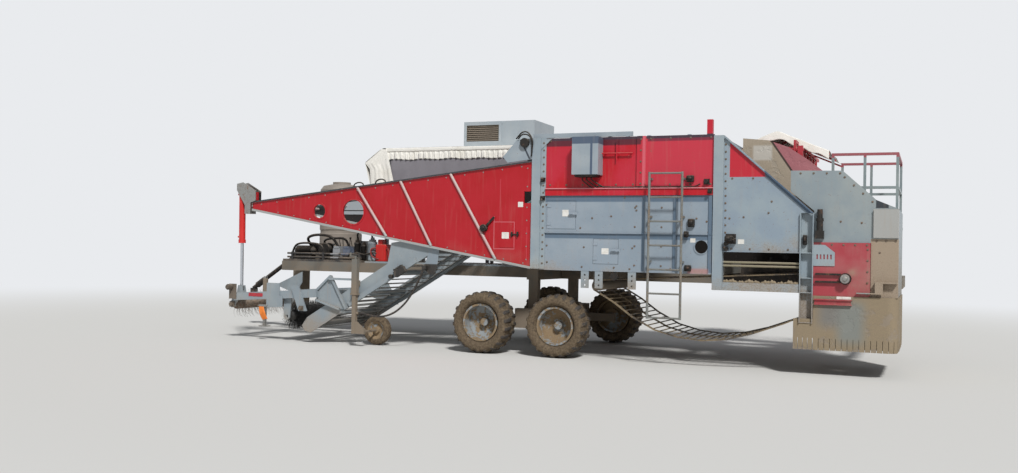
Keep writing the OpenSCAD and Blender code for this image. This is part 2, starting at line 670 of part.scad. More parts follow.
elev_toe = [-2880, 322];
elev_head = [480, 2380];
side_gap = 12;
elev_y0 = boom_left_y + boom_t + side_gap;
elev_y1 = boom_right_y - side_gap;
elev_t = 20;
elev_angle = atan2(elev_head[1] - elev_toe[1], elev_head[0] - elev_toe[0]);
elev_l = norm(elev_head - elev_toe);

// ends of the folded flange along the elevator's lower edge, from the toe
flange_u0 = 840;
flange_u1 = 2300;
module elevator_side() {
  translate(elev_toe) rotate(elev_angle)
    polygon([[-150, -40], [-60, -elev_d / 2], [elev_l + 120, -elev_d / 2], [elev_l + 120, elev_d / 2],
      [0, elev_d / 2], [-150, 60]]);
  polygon([[-1410, 1350], [-1340, 1720], [-760, 1810], [-760, 1500]]);
  translate(pivot) circle(95);
  polygon([pivot + [-95, 0], pivot + [95, 0], pivot + [200, 300], pivot + [-200, 180]]);
}

module elevator_frame() color(gray) {
  for (y = [elev_y0, elev_y1 - elev_t]) difference() {
    plate(y, elev_t) elevator_side();
    cross_bar(pivot[0], pivot[1], y - 5, y + elev_t + 5, pivot_r + fit);
  }
  translate([elev_toe[0], 0, elev_toe[1]]) rotate([0, -elev_angle, 0]) {
    for (u = [300:700:elev_l - 100]) block([u, u + 60], [elev_y0 + elev_t, elev_y1 - elev_t], [-25, 25]);
    for (y = [elev_y0 - 30, elev_y1])
      block([flange_u0, flange_u1], [y, y + 30], [-elev_d / 2, -elev_d / 2 + 80]);
  }
}

chain_r = 85;
module elevator_chain() color(steel) {
  y0 = elev_y0 + elev_t + 5;
  y1 = elev_y1 - elev_t - 5;
  translate([elev_toe[0], 0, elev_toe[1]]) rotate([0, -elev_angle, 0]) {
    for (y = [y0 + 10, y1 - belt_w - 10]) difference() {
      union() {
        block([0, elev_l], [y, y + belt_w], [-chain_r, chain_r]);
        for (u = [0, elev_l]) cross_bar(u, 0, y, y + belt_w, chain_r);
      }
      block([0, elev_l], [y - 1, y + belt_w + 1], [-chain_r + belt_t, chain_r - belt_t]);
      for (u = [0, elev_l]) cross_bar(u, 0, y - 1, y + belt_w + 1, chain_r - belt_t);
    }
    for (v = [-1, 1], u = [0:150:elev_l]) cross_bar(u, v * (chain_r - 4), y0, y1, 9);
    for (u = [0, elev_l]) {
      cross_bar(u, 0, y0, y1, 50);
      cross_bar(u, 0, elev_y0 + elev_t, elev_y1 - elev_t, 30);
    }
    for (u = [0, elev_l], y = [y0 + 10, y1 - belt_w - 10]) cross_bar(u, 0, y, y + belt_w, chain_r - belt_t);
  }
}

arm_left_y = left_y - 40;
arm_t = 80;
arm_right_y = elev_y1 + 35;
ARM = [[-4390, 740], [-2700, 850]];
arm_h = 130;
reel_at = [-4474, 602];
brush_at = [-3330, 440];
rod_eye = [-4300, 900];
eye_pin_r = 20;
// side plate between an arm and the elevator
SIDE_PLATE = [[-2741, 742], [-2741, 890], [-2453, 1151], [-2144, 612], [-2270, 601]];
rim_bar = 34;
module header_arms() color(gray) {
  for (y = [arm_left_y, arm_right_y]) plate(y, arm_t) polygon(bar_points(ARM[0], ARM[1], arm_h));
  plate(arm_left_y + arm_t, elev_y0 - arm_left_y - arm_t) polygon(SIDE_PLATE);
  plate(elev_y1, arm_right_y - elev_y1) polygon(SIDE_PLATE);
  // raised bars along the left side plate's edges, and a strut to the gauge post
  for (i = [[2, 3], [0, 4], [1, 2]])
    plate(arm_left_y + 40, 40) polygon(bar_points(SIDE_PLATE[i[0]], SIDE_PLATE[i[1]], rim_bar));
  block([-2470, gauge_x0], [arm_left_y + 20, arm_left_y + 50], [1085, 1120]);
  for (x = [-4180, -2900])
    block([x, x + 70], [arm_left_y + arm_t, arm_right_y],
      [on_line(ARM[0], ARM[1], x) - 35, on_line(ARM[0], ARM[1], x) + 35]);
  // hanger plate and slanted strap outside the left arm
  plate(arm_left_y - 14, 14) polygon([[-3690, 583], [-3364, 596], [-3364, 780], [-3424, 780],
    [-3424, 1000], [-3687, 1000]]);
  plate(arm_left_y - 30, 30) polygon([[-3196, 968], [-3034, 973], [-2863, 549], [-3023, 543]]);
  // sloping guide plate over the far arm
  plate(arm_right_y + arm_t, 12) polygon([[-4900, 880], [-4300, 1150], [-4300, 940], [-4390, 810],
    [-4390, 700], [-4560, 760]]);
  // bearing plates of the reel and the brush
  for (y = [arm_left_y + arm_t, arm_right_y - 20]) {
    difference() {
      plate(y, 20) union() {
        polygon([reel_at + [-60, 0], reel_at + [60, 0], [-4330, 720], [-4390, 780], [-4470, 720]]);
        translate(reel_at) circle(60);
      }
      cross_bar(reel_at[0], reel_at[1], y - 5, y + 25, 25 + fit);
    }
    difference() {
      plate(y, 20) union() {
        polygon([brush_at + [-60, 0], brush_at + [60, 0], [-3240, 780], [-3400, 780]]);
        translate(brush_at) circle(60);
      }
      cross_bar(brush_at[0], brush_at[1], y - 5, y + 25, 25 + fit);
    }
  }
  // lug and pin that the lift rod's eye hangs on
  for (y = [cyl_y - 50, cyl_y + 30])
    plate(y, 20) polygon([rod_eye + [-40, 35], rod_eye + [40, 35], [-4230, 790], [-4370, 780]]);
  block([-4370, -4230], [arm_left_y + arm_t, cyl_y + 50], [780, 820]);
  cross_bar(rod_eye[0], rod_eye[1], cyl_y - 50, cyl_y + 50, eye_pin_r);
}

reel_y0 = cyl_y + 60;
reel_y1 = arm_right_y - 25;
module tine_rotor(at, r_core, r_tip, rows, turns, tine_r, shade) color(shade) {
  cross_bar(at[0], at[1], arm_left_y + arm_t + 2, arm_right_y - 2, 25);
  translate([at[0], reel_y0, at[1]]) rotate([-90, 0, 0]) {
    cylinder(h = reel_y1 - reel_y0, r = r_core);
    for (k = [0:rows - 1], i = [0:turns - 1])
      translate([0, 0, 40 + k * (reel_y1 - reel_y0 - 80) / (rows - 1)])
        rotate([0, 90, i * 360 / turns + k * 15])
        cylinder(h = r_tip, r = tine_r, $fn = 6);
  }
}
module wire_reel() tine_rotor(reel_at, 90, reel_r, 9, 8, 6, steel);
module sweep_brush() tine_rotor(brush_at, 80, brush_r, 11, 8, 6, dark);

gauge_at = [-1800, 250];
gauge_y = left_y + 400;
gauge_w = 150;
gauge_x0 = -2010;
gauge_w0 = 100;
// jack tube, its collar and inner leg, the crank on top and the wheel's axle
module gauge_post() color(post_gray) {
  y0 = left_y - 50;
  mid_x = gauge_x0 + gauge_w0 / 2;
  block([gauge_x0, gauge_x0 + gauge_w0], [y0, y0 + 80], [880, 1440]);
  block([gauge_x0 - 12, gauge_x0 + gauge_w0 + 12], [y0 - 8, y0 + 88], [850, 880]);
  block([gauge_x0 + 15, gauge_x0 + gauge_w0 - 15], [y0 + 5, y0 + 75], [215, 850]);
  translate([mid_x, y0 + 40, 1440]) cylinder(h = 40, r = 18);
  block([mid_x - 110, mid_x + 20], [y0 + 25, y0 + 55], [1480, 1496]);
  translate([mid_x - 95, y0 + 40, 1496]) cylinder(h = 54, r = 13);
  block([gauge_x0, gauge_x0 + gauge_w0], [y0 + 80, elev_y0], [1000, 1090]);
  long_bar(HOSE[0][1], HOSE[0][2], gauge_x0 + gauge_w0 - 15, HOSE[0][0], hose_r + 6);
  plate(y0 + 10, 60) polygon([[mid_x + 30, 215], [gauge_at[0] + 40, 215], [gauge_at[0] + 40, 290],
    [mid_x + 30, 420]]);
  cross_bar(gauge_at[0], gauge_at[1], y0 + 70, gauge_y + gauge_w, 20);
}
module gauge_wheel() color(dark) difference() {
  translate([gauge_at[0], gauge_y, gauge_at[1]]) rotate([-90, 0, 0])
    rotate_extrude($fn = 48) polygon([[0, 0], [60, 0], [60, 25], [gauge_r - 60, 25], [gauge_r - 40, 0],
      [gauge_r - 12, 12], [gauge_r, 40], [gauge_r, gauge_w - 40], [gauge_r - 12, gauge_w - 12],
      [gauge_r - 40, gauge_w], [gauge_r - 60, gauge_w - 25], [60, gauge_w - 25], [60, gauge_w],
        [0, gauge_w]]);
  cross_bar(gauge_at[0], gauge_at[1], gauge_y - 5, gauge_y + gauge_w + 5, 20 + fit);
}

// Lift cylinder

barrel_r = 55;
rod_r = 28;
cyl_l = norm(cyl_top - rod_eye);
cyl_angle = atan2(rod_eye[0] - cyl_top[0], cyl_top[1] - rod_eye[1]);
barrel_end = 970;
module along_cylinder() translate([cyl_top[0], cyl_y, cyl_top[1]]) rotate([0, 180 - cyl_angle, 0]) children();
module lift_barrel() color(red) {
  along_cylinder() difference() {
    union() {
      translate([0, 0, 60]) cylinder(h = barrel_end - 60, r = barrel_r);
      translate([0, 0, 10]) cylinder(h = 51, r = 40);
      rotate([90, 0, 0]) cylinder(h = 80, r = 45, center = true);
      translate([0, 0, barrel_end - 60]) cylinder(h = 60, r = barrel_r + 8);
      for (z = [120, barrel_end - 110]) translate([barrel_r - 10, 0, z]) rotate([0, 90, 0])
        cylinder(h = 40, r = 16);
    }
    translate([0, 0, 100]) cylinder(h = barrel_end - 130, r = 46);
    translate([0, 0, 100]) cylinder(h = barrel_end, r = rod_r + fit);
    rotate([90, 0, 0]) cylinder(h = 100, r = cyl_pin_r + fit, center = true);
  }
}
module lift_rod() color(steel) along_cylinder() difference() {
  union() {
    translate([0, 0, barrel_end - 95]) cylinder(h = 60, r = 46 - fit);
    translate([0, 0, barrel_end - 95]) cylinder(h = cyl_l - barrel_end + 60, r = rod_r);
    translate([0, 0, cyl_l]) rotate([90, 0, 0]) cylinder(h = 50, r = 45, center = true);
  }
  translate([0, 0, cyl_l]) rotate([90, 0, 0]) cylinder(h = 60, r = eye_pin_r + 6, center = true);
}

// Sorting side

// pumps on the gearbox: y, length, radius
PUMPS = [[80, 380, 105], [-130, 300, 80]];
pump_z = 1560;
gearbox_x = [deck_front_x + 400, deck_front_x + 620];
// rear end of the drive shaft
shaft_x = deck_front_x + 20;
module power_pack() color(dark) {
  block([deck_front_x + 20, -3030], [middle_rail_y, right_y - 30], [floor_z, floor_z + 40]);
  block(gearbox_x, [-240, 250], [floor_z + 40, 1700]);
  long_bar(PUMPS[0][0], pump_z, gearbox_x[0] - 120, gearbox_x[0], 90);
  long_bar(PUMPS[0][0], pump_z, shaft_x, gearbox_x[0] - 120, 60);
  for (p = PUMPS) {
    long_bar(p[0], pump_z, gearbox_x[1], gearbox_x[1] + p[1], p[2]);
    long_bar(p[0], pump_z, gearbox_x[1] + p[1], gearbox_x[1] + p[1] + 50, p[2] + 18);
  }
  // valve banks with their sections, and an oil cooler behind them
  bank_y = middle_rail_y + 80;
  for (x = [-3700, -3480], i = [0:5]) block([x, x + 150], [bank_y + i * 62, bank_y + 54 + i * 62],
    [floor_z + 40, 1610]);
  for (x = [-3700, -3480]) block([x + 20, x + 130], [bank_y - 10, bank_y + 380], [1610, 1650]);
  block([-3420, -3340], [-120, 260], [floor_z + 40, 1760]);
  // pipes along the pack's front edge
  pipe_y = middle_rail_y + 40;
  for (z = [1430, 1500]) long_bar(pipe_y, z, -4700, -3050, 18);
  for (x = [-4600, -3900, -3100]) block([x, x + 40], [pipe_y - 25, pipe_y + 25], [floor_z + 40, 1530]);
}

// Drive shaft from the pack to its stand on the tongue, with a guard tube and two joints
module drive_shaft() color(dark) {
  a = [shaft_x - 30, PUMPS[0][0], pump_z];
  b = [hitch_x + 340, neck_y, 760];
  long_bar(PUMPS[0][0], pump_z, shaft_x - 45, shaft_x, 50);
  d = (b - a) / norm(b - a);
  rod(a, b, 42);
  rod(a + 120 * d, a + 320 * d, 62);
  rod(b - 320 * d, b - 120 * d, 62);
  pole_top = hitch_z + pole_h / 2;
  block([b[0] - 50, b[0] + 60], [b[1] - 50, b[1] + 50], [pole_top, 760]);
  block([b[0] - 50, b[0] + 60], [b[1] + 50, hitch_y - 60], [pole_top, pole_top + 40]);
}

tank_at = [-4330, 690];
tank_r = 425;
// A round tank turned from one profile: ribs, shoulder and filler neck
module oil_tank() color("#8a8078") translate([tank_at[0], tank_at[1], floor_z + 40])
  rotate_extrude($fn = 48) polygon(concat(
    [[0, 0], [tank_r - 30, 0], [tank_r, 30]],
    [for (i = [0:3]) each [
      [tank_r, 180 + i * 330], [tank_r - 14, 195 + i * 330], [tank_r - 14, 245 + i * 330],
        [tank_r, 260 + i * 330]
    ]],
    [[tank_r, 1400], [tank_r - 60, 1480], [180, 1520], [180, 1560], [0, 1560]]
  ));

deck_x0 = -2950;
deck_t = 30;
canopy_z = 3500;
canopy_y0 = inner_y + 300;
canopy_x1 = 200;
POSTS_X = [-2660, -1250, 90];
module sorting_deck() color(post_gray) {
  block([deck_x0, front_post_x], [middle_rail_y, right_y - 30], [floor_z, floor_z + deck_t]);
  for (x = POSTS_X, y = [canopy_y0 + 30, right_y - 90])
    block([x, x + 60], [y, y + 60], [floor_z + deck_t, canopy_z - 20]);
  for (y = [canopy_y0 + 30, right_y - 90])
    block([POSTS_X[0], POSTS_X[2] + 60], [y, y + 60], [canopy_z - 80, canopy_z - 20]);
  for (x = POSTS_X) block([x, x + 60], [canopy_y0 + 30, right_y - 30], [canopy_z - 80, canopy_z - 20]);
  for (z = [1900, 2400]) block([POSTS_X[0], POSTS_X[2] + 60], [right_y - 80, right_y - 40], [z, z + 40]);
}

table_y = [50, 650];
module sorting_table() color(steel) {
  for (y = [table_y[0], table_y[1] - 30]) block([-2500, 1000], [y, y + 30], [2020, 2240]);
  block([-2400, 900], [table_y[0] + 30, table_y[1] - 30], [2140, 2160]);
  for (x = [-2400, 900]) cross_bar(x, 2100, table_y[0] + 30, table_y[1] - 30, 60);
  for (x = [-2200, -700, 700], y = [table_y[0], table_y[1] - 30])
    block([x, x + 60], [y, y + 30], [floor_z + deck_t, 2020]);
}

CANOPY = [[-2985, 2833], [-3104, 3231], [-2721, canopy_z], [canopy_x1, canopy_z]];
module canopy_cover() color("#ede8d8") {
  plate(canopy_y0, right_y - canopy_y0) polygon([
    CANOPY[0], CANOPY[1], CANOPY[2], CANOPY[3], CANOPY[3] - [0, 20], CANOPY[2] - [-8, 20],
    CANOPY[1] + [22, -8], CANOPY[0] + [20, 0]
  ]);
  plate(canopy_y0, 20) polygon([CANOPY[1] + [22, -8], CANOPY[2] - [-8, 20], CANOPY[3] - [0, 20],
    CANOPY[3] - [0, 220], [-2860, 3280]]);
  plate(right_y - 20, 20) polygon([CANOPY[0] + [20, 0], CANOPY[1] + [22, -8], CANOPY[2] - [-8, 20],
    CANOPY[3] - [0, 20], [canopy_x1, 2400], [-2900, 2400]]);
}

// louvred face: from x, to x, from z, to z
LOUVRE = [-1200, -560, 3640, 3930];
slat_pitch = 36;
module cooler_box() color(gray) {
  difference() {
    block([-1260, 150], [0, 1000], [canopy_z, 4000]);
    block([LOUVRE[0], LOUVRE[1]], [-10, 60], [LOUVRE[2], LOUVRE[3]]);
    block([-500, -470], [-5, 8], [3620, 3950]);
  }
  for (z = [LOUVRE[2] + 12:slat_pitch:LOUVRE[3] - 20]) translate([LOUVRE[0], 8, z]) rotate([-35, 0, 0])
    cube([LOUVRE[1] - LOUVRE[0], 5, 34]);
}

// Discharge

disch_x = [rear_post_x + 200, rear_post_x + 900];
disch_z = 3230;
disch_h = 220;
disch_y0 = -660;
disch_hinge = [-620, 3300];
disch_y1 = right_y + reach;
module discharge_stand() color(red) {
  for (x = [disch_x[0] - 100, disch_x[1] + 20], y = [middle_rail_y, right_y - 250])
    block([x, x + 80], [y, y + 80], [floor_z, disch_z - 30]);
  for (x = [disch_x[0] - 100, disch_x[1] + 20])
    block([x, x + 80], [disch_y0, right_y - 170], [disch_z - 110, disch_z - 30]);
  for (x = [disch_x[0] - 100, disch_x[1] + 20]) difference() {
    block([x, x + 80], [disch_y0, disch_y0 + 80], [disch_z - 30, disch_z + 130]);
    long_bar(disch_hinge[0], disch_hinge[1], x - 5, x + 85, 25 + fit);
  }
}

TARP = [[disch_x[0] - 20, 3485], [disch_x[0] + 360, 3640], [disch_x[0] + 1160, 3300]];
tarp_t = 25;
tarp_y = [-300, 2200];
truss_pitch = 430;
flight_pitch = 215;
module discharge_conveyor() color(red) {
  x0 = disch_x[0];
  x1 = disch_x[1];
  z1 = disch_z + disch_h;
  for (x = [x0, x1 - 40], z = [disch_z, z1 - 50]) block([x, x + 40], [disch_y0, disch_y1], [z, z + 50]);
  for (x = [x0, x1 - 40]) {
    for (y = [disch_y0:truss_pitch:disch_y1 - 60]) block([x, x + 40], [y, y + 40], [disch_z, z1]);
    for (y = [disch_y0:truss_pitch:disch_y1 - truss_pitch])
      rod([x + 20, y + 20, disch_z + 40], [x + 20, y + truss_pitch + 20, z1 - 40], 14);
  }
  // floor with flights, end rollers and hinge
  block([x0 + 40, x1 - 40], [disch_y0, disch_y1], [disch_z + 70, disch_z + 90]);
  for (y = [disch_y0 + 120:flight_pitch:disch_y1 - 60])
    block([x0 + 60, x1 - 60], [y, y + 12], [disch_z + 90, disch_z + 125]);
  cross = disch_y1 - 45;
  long_bar(cross, disch_z + 25, x0 + 40, x1 - 40, 25);
  long_bar(disch_hinge[0], disch_hinge[1], x0 - 110, x1 + 110, 25);
  for (x = [x0 - 15, x1 - 5]) long_bar(disch_hinge[0], disch_hinge[1], x, x + 20, 50);
  for (y = [tarp_y[0] + 60, 900, tarp_y[1] - 100]) plate(y, 40)
    polygon(band([for (p = TARP) p - [0, tarp_t]], 30));
}

module discharge_tarp() color("#ede8d8") plate(tarp_y[0], tarp_y[1] - tarp_y[0]) polygon(band(TARP, tarp_t));

// rear platform: front and rear end, its floor and the height of its rail
PLATFORM_X = [leg_end_x + 30, tail_x - 60];
platform_z = 2100;
platform_rail_h = 1130;
module rear_platform() color(post_gray) {
  x0 = PLATFORM_X[0];
  x1 = PLATFORM_X[1];
  z0 = platform_z + 40;
  block([x0, x1], [middle_rail_y, right_y - 20], [platform_z, z0]);
  for (x = [x0 + 10, x1 - 70], y = [middle_rail_y + 30, right_rail_y + 30])
    block([x, x + 60], [y, y + 60], [floor_z, platform_z]);
  for (x = [x0 + 20, (x0 + x1) / 2 - 20, x1 - 60], y = [middle_rail_y, right_y - 60])
    block([x, x + 40], [y, y + 40], [z0, platform_z + platform_rail_h]);
  for (z = [platform_z + 580, platform_z + platform_rail_h - 40]) {
    for (y = [middle_rail_y, right_y - 60]) block([x0 + 20, x1 - 20], [y, y + 40], [z, z + 40]);
    block([x1 - 60, x1 - 20], [middle_rail_y, right_y - 20], [z, z + 40]);
  }
}

// Bearings, motors and small drives fixed to the pickup side

// A square flange bearing on a plane facing -Y: centre x, z, half width, how far it stands out
module flange_bearing(x, z, w, y, d) {
  block([x - w, x + w], [y - d * 0.35, y], [z - w, z + w]);
  cross_bar(x, z, y - d, y - d * 0.35, w * 0.7);
}
// bearings at the ends of the red ledge: x, z, half width, plane they sit on
LEDGE_BEARINGS = [[1312, 2720, 34, left_y + 28], [1312, 2440, 34, left_y + 28], [3810, 2672, 40, panel_y],
  [3862, 2533, 30, panel_y - 25]];
module drive_fittings() color(dark) {
  for (b = LEDGE_BEARINGS) flange_bearing(b[0], b[1], b[2], b[3], 70);
  flange_bearing(4165, 1860, 70, panel_y, 90);
  for (z = [1720, 1790]) cross_bar(4100, z, panel_y - 60, panel_y, 30);
  // motor stack beside the leg post
  block([leg_end_x + 25, leg_end_x + 135], [hood_y0 - 90, hood_y0], [1880, 1990]);
  translate([leg_end_x + 80, hood_y0 - 50, 1990]) cylinder(h = 130, r = 42);
  translate([leg_end_x + 80, hood_y0 - 50, 2120]) cylinder(h = 40, r = 50);
  translate([leg_end_x + 80, hood_y0 - 50, 2160]) cylinder(h = 120, r = 36);
  // round boss and lever over the boom's pivot
  difference() {
    cross_bar(pivot[0], pivot[1], boom_left_y - 22, boom_left_y, 55);
    cross_bar(pivot[0], pivot[1], boom_left_y - 25, boom_left_y + 5, pivot_r + fit);
  }
  plate(boom_left_y - 34, 12) polygon(bar_points(pivot + [48, 48], [513, 2148], 34));
  cross_bar(pivot[0] + 48, pivot[1] + 48, boom_left_y - 34, boom_left_y, 16);
  // pulley on the head plate
  cross_bar(1010, 3290, boom_left_y - 70, boom_left_y - 20, 72);
  // roller between the hanging brackets, and the block that carries it
  roller_x = HANGERS[2] - 213;
  cross_bar(roller_x, floor_z - 70, panel_y + 5, panel_y + 60, 60);
  block([roller_x - 25, roller_x + 25], [panel_y + 20, panel_y + 45], [floor_z - 70, floor_z]);
}

// Motors, valves and bearings that ride on the header
module header_fittings() color(dark) {
  // reel motor on a bracket plate at the left arm's end
  motor_x = ARM[0][0] - 50;
  block([motor_x - 40, ARM[0][0] + 60], [arm_left_y - 12, arm_left_y], [700, 960]);
  cross_bar(motor_x, 905, arm_left_y - 100, arm_left_y - 12, 50);
  cross_bar(motor_x, 905, arm_left_y - 125, arm_left_y - 100, 34);
  flange_bearing(reel_at[0], reel_at[1], 48, arm_left_y + arm_t, 60);
  flange_bearing(-2961, 594, 40, arm_left_y - 30, 60);
  // valve block on the elevator's flange
  translate([elev_toe[0], 0, elev_toe[1]]) rotate([0, -elev_angle, 0]) {
    block([1880, 2080], [elev_y0 - 110, elev_y0 - 30], [-elev_d / 2 - 40, -elev_d / 2 + 60]);
    for (u = [1900:45:2060]) block([u, u + 26], [elev_y0 - 110, elev_y0 - 40],
      [-elev_d / 2 + 60, -elev_d / 2 + 95]);
    cross_bar(1790, -elev_d / 2 + 30, elev_y0 - 90, elev_y0 - 30, 34);
  }
  // plate under the elevator that the hose's upper end is screwed to
  plate(elev_y0 - 6, 6) polygon([[-600, 1700], [-450, 1700], [-500, 1330], [-545, 1220], [-640, 1230],
    [-720, 1300], [-720, 1380]]);
  end = HOSE[len(HOSE) - 1];
  dir = (end - HOSE[len(HOSE) - 2]) / norm(end - HOSE[len(HOSE) - 2]);
  rod(end, end + 50 * dir, hose_r + 6);
  block([end[0] - 10, end[0] + 60], [end[1] - 20, elev_y0 - 6], [end[2] + 30, end[2] + 80]);
}

// Hydraulic hose that hangs from the elevator to the gauge post: x, y, z of its middle line
hose_r = 16;
hose_y = elev_y0 - 82;
HOSE = [
  [-1880, hose_y, 552], [-1810, hose_y, 552], [-1735, hose_y, 540], [-1660, hose_y, 527],
    [-1580, hose_y, 518],
  [-1500, hose_y, 516], [-1420, hose_y, 522], [-1340, hose_y, 540], [-1260, hose_y, 570],
    [-1180, hose_y, 614],
  [-1105, hose_y, 670], [-1030, hose_y, 740], [-962, hose_y, 820], [-900, hose_y, 908], [-845, hose_y, 1000],
  [-795, hose_y, 1095], [-750, hose_y, 1190], [-710, hose_y, 1285]
];
hose_sides = 10;

// One ring of points round a line in the X-Z plane, square to its direction d
function hose_ring(p, d) =
  [for (k = [0:hose_sides - 1]) let (a = k * 360 / hose_sides)
    p + hose_r * (cos(a) * [-d[2], 0, d[0]] + sin(a) * [0, 1, 0])];
function hose_dir(i) =
  let (a = HOSE[max(i - 1, 0)], b = HOSE[min(i + 1, len(HOSE) - 1)]) (b - a) / norm(b - a);

module header_hose() color("#4a4038") {
  n = len(HOSE);
  m = hose_sides;
  polyhedron(
    [for (i = [0:n - 1]) each hose_ring(HOSE[i], hose_dir(i))],
    concat(
      [[for (k = [m - 1:-1:0]) k], [for (k = [0:m - 1]) (n - 1) * m + k]],
      [for (i = [0:n - 2], k = [0:m - 1]) [i * m + k, i * m + (k + 1) % m, (i + 1) * m + (k + 1) % m,
        (i + 1) * m + k]]
    )
  );
}

main_frame();
axle_beams();
tongue();
jack_leg();
tyre_front_left();
tyre_rear_left();
tyre_front_right();
tyre_rear_right();
rim_front_left();
rim_rear_left();
rim_front_right();
rim_rear_right();
left_posts();
left_gray_panel();
left_red_panel();
door_upper();
door_lower();
rear_side_panel();
right_wall();
right_red_panel();
front_wall();
top_cover();
chamber_wall();
rear_hood();
rear_red_panels();
tail_drive();
tail_skirt();
bottom_chain();
ladder();
control_box();
boom_panels();
boom_frame();
front_head();
elevator_frame();
elevator_chain();
header_arms();
wire_reel();
sweep_brush();
gauge_post();
gauge_wheel();
lift_barrel();
lift_rod();
power_pack();
oil_tank();
sorting_deck();
sorting_table();
canopy_cover();
cooler_box();
discharge_stand();
discharge_conveyor();
discharge_tarp();
rear_platform();
chamber_frame();
cross_members();
boom_bracket();
drive_shaft();
drive_fittings();
header_fittings();
header_hose();
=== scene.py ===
"""Looks of a trailed tomato harvester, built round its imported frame.

Metres throughout: -X is forwards to the hitch, -Y the pickup side and +Z up. Places that no node
of the frame gives were measured in the photograph through the camera below."""
import math

import bmesh
import bpy
import numpy as np
from mathutils import Matrix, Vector
from mathutils.bvhtree import BVHTree


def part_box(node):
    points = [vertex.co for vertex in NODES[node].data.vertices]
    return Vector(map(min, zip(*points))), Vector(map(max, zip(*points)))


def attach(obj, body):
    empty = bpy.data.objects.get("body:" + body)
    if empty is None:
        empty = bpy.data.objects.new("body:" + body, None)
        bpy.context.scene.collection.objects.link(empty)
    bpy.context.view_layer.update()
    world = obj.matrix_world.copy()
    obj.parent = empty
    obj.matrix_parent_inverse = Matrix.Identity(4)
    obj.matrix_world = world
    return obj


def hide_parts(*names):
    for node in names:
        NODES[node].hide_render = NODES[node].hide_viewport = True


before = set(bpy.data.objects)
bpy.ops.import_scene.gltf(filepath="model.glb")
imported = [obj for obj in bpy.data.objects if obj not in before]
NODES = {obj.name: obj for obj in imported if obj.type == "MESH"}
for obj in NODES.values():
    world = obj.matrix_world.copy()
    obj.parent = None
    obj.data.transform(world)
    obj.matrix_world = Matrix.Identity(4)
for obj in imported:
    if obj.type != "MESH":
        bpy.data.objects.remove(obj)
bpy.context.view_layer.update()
TURN = 2 * math.pi

# Camera: the photograph's place and aim
CAMERA_AT = np.array([6.8, -16.75, 1.636])
CAMERA_YAW = math.radians(23.0)
CAMERA_PITCH = math.radians(0.79)
CAMERA_ROLL = 0.02
CAMERA_LENS = 35.363


def set_camera():
    """Columns of the camera's matrix: right and up turned by the roll, then backwards."""
    cy, sy = math.cos(CAMERA_YAW), math.sin(CAMERA_YAW)
    cp, sp = math.cos(CAMERA_PITCH), math.sin(CAMERA_PITCH)
    ahead = np.array([-sy * cp, cy * cp, sp])
    level = np.array([cy, sy, 0.0])
    above = np.cross(level, ahead)
    right = level * math.cos(CAMERA_ROLL) + above * math.sin(CAMERA_ROLL)
    up = above * math.cos(CAMERA_ROLL) - level * math.sin(CAMERA_ROLL)
    data = bpy.data.cameras.new("photo_view")
    data.lens = CAMERA_LENS
    data.sensor_width = 36.0
    data.clip_end = 400.0
    camera = bpy.data.objects.new("photo_view", data)
    matrix = np.eye(4)
    matrix[:3] = np.stack([right, up, -ahead, CAMERA_AT], 1)
    camera.matrix_world = Matrix(matrix.tolist())
    bpy.context.scene.collection.objects.link(camera)
    bpy.context.scene.camera = camera


set_camera()

# Nodes of the materials


def linear(colour):
    """An sRGB hex colour as linear red, green, blue and alpha."""
    parts = [int(colour[i:i + 2], 16) / 255 for i in (1, 3, 5)]
    curved = [c / 12.92 if c <= 0.04045 else ((c + 0.055) / 1.055) ** 2.4 for c in parts]
    return (*curved, 1.0)


def add(tree, kind, sockets=None, **settings):
    """Adds a node with its settings, and gives each socket a value or a link."""
    made = tree.nodes.new("ShaderNode" + kind)
    for key, value in settings.items():
        setattr(made, key, value)
    for key, value in (sockets or {}).items():
        if isinstance(value, bpy.types.NodeSocket):
            tree.links.new(value, made.inputs[key])
        else:
            made.inputs[key].default_value = value
    return made


def new_material(name):
    """An empty material, its node tree, and the place in the machine's frame."""
    material = bpy.data.materials.new(name)
    material.use_nodes = True
    tree = material.node_tree
    tree.nodes.clear()
    return material, tree, add(tree, "TexCoord").outputs["Object"]


def mix(tree, share, first, second):
    """Colour between first and second; either may be a hex colour or a socket."""
    ends = [linear(c) if isinstance(c, str) else c for c in (first, second)]
    return add(tree, "Mix", {0: share, 6: ends[0], 7: ends[1]}, data_type="RGBA").outputs[2]


def ramp(tree, value, start, end, low_out=0.0, high_out=1.0):
    """Smooth step of a value from start to end."""
    sockets = {"Value": value, 1: start, 2: end, 3: low_out, 4: high_out}
    return add(tree, "MapRange", sockets, interpolation_type="SMOOTHSTEP").outputs[0]


def maths(tree, operation, first, second):
    return add(tree, "Math", {0: first, 1: second}, operation=operation).outputs[0]


def along(tree, place, axis):
    """How far a place lies along an axis."""
    made = add(tree, "VectorMath", {0: place, 1: axis}, operation="DOT_PRODUCT")
    return made.outputs["Value"]


def upward(tree):
    """How much a face looks up: the z of its normal."""
    normal = add(tree, "NewGeometry").outputs["Normal"]
    return add(tree, "SeparateXYZ", {0: normal}).outputs[2]


def grain(tree, place, size_mm, detail=3.0, stretch=(1, 1, 1), rough=0.55):
    """Noise whose patches measure about size_mm; stretch above 1 lengthens them on that axis."""
    mapping = add(tree, "Mapping", {"Vector": place, "Scale": tuple(1 / s for s in stretch)})
    return add(tree, "TexNoise", {"Vector": mapping.outputs[0], "Scale": 1000 / size_mm,
                                  "Detail": detail, "Roughness": rough}).outputs[0]


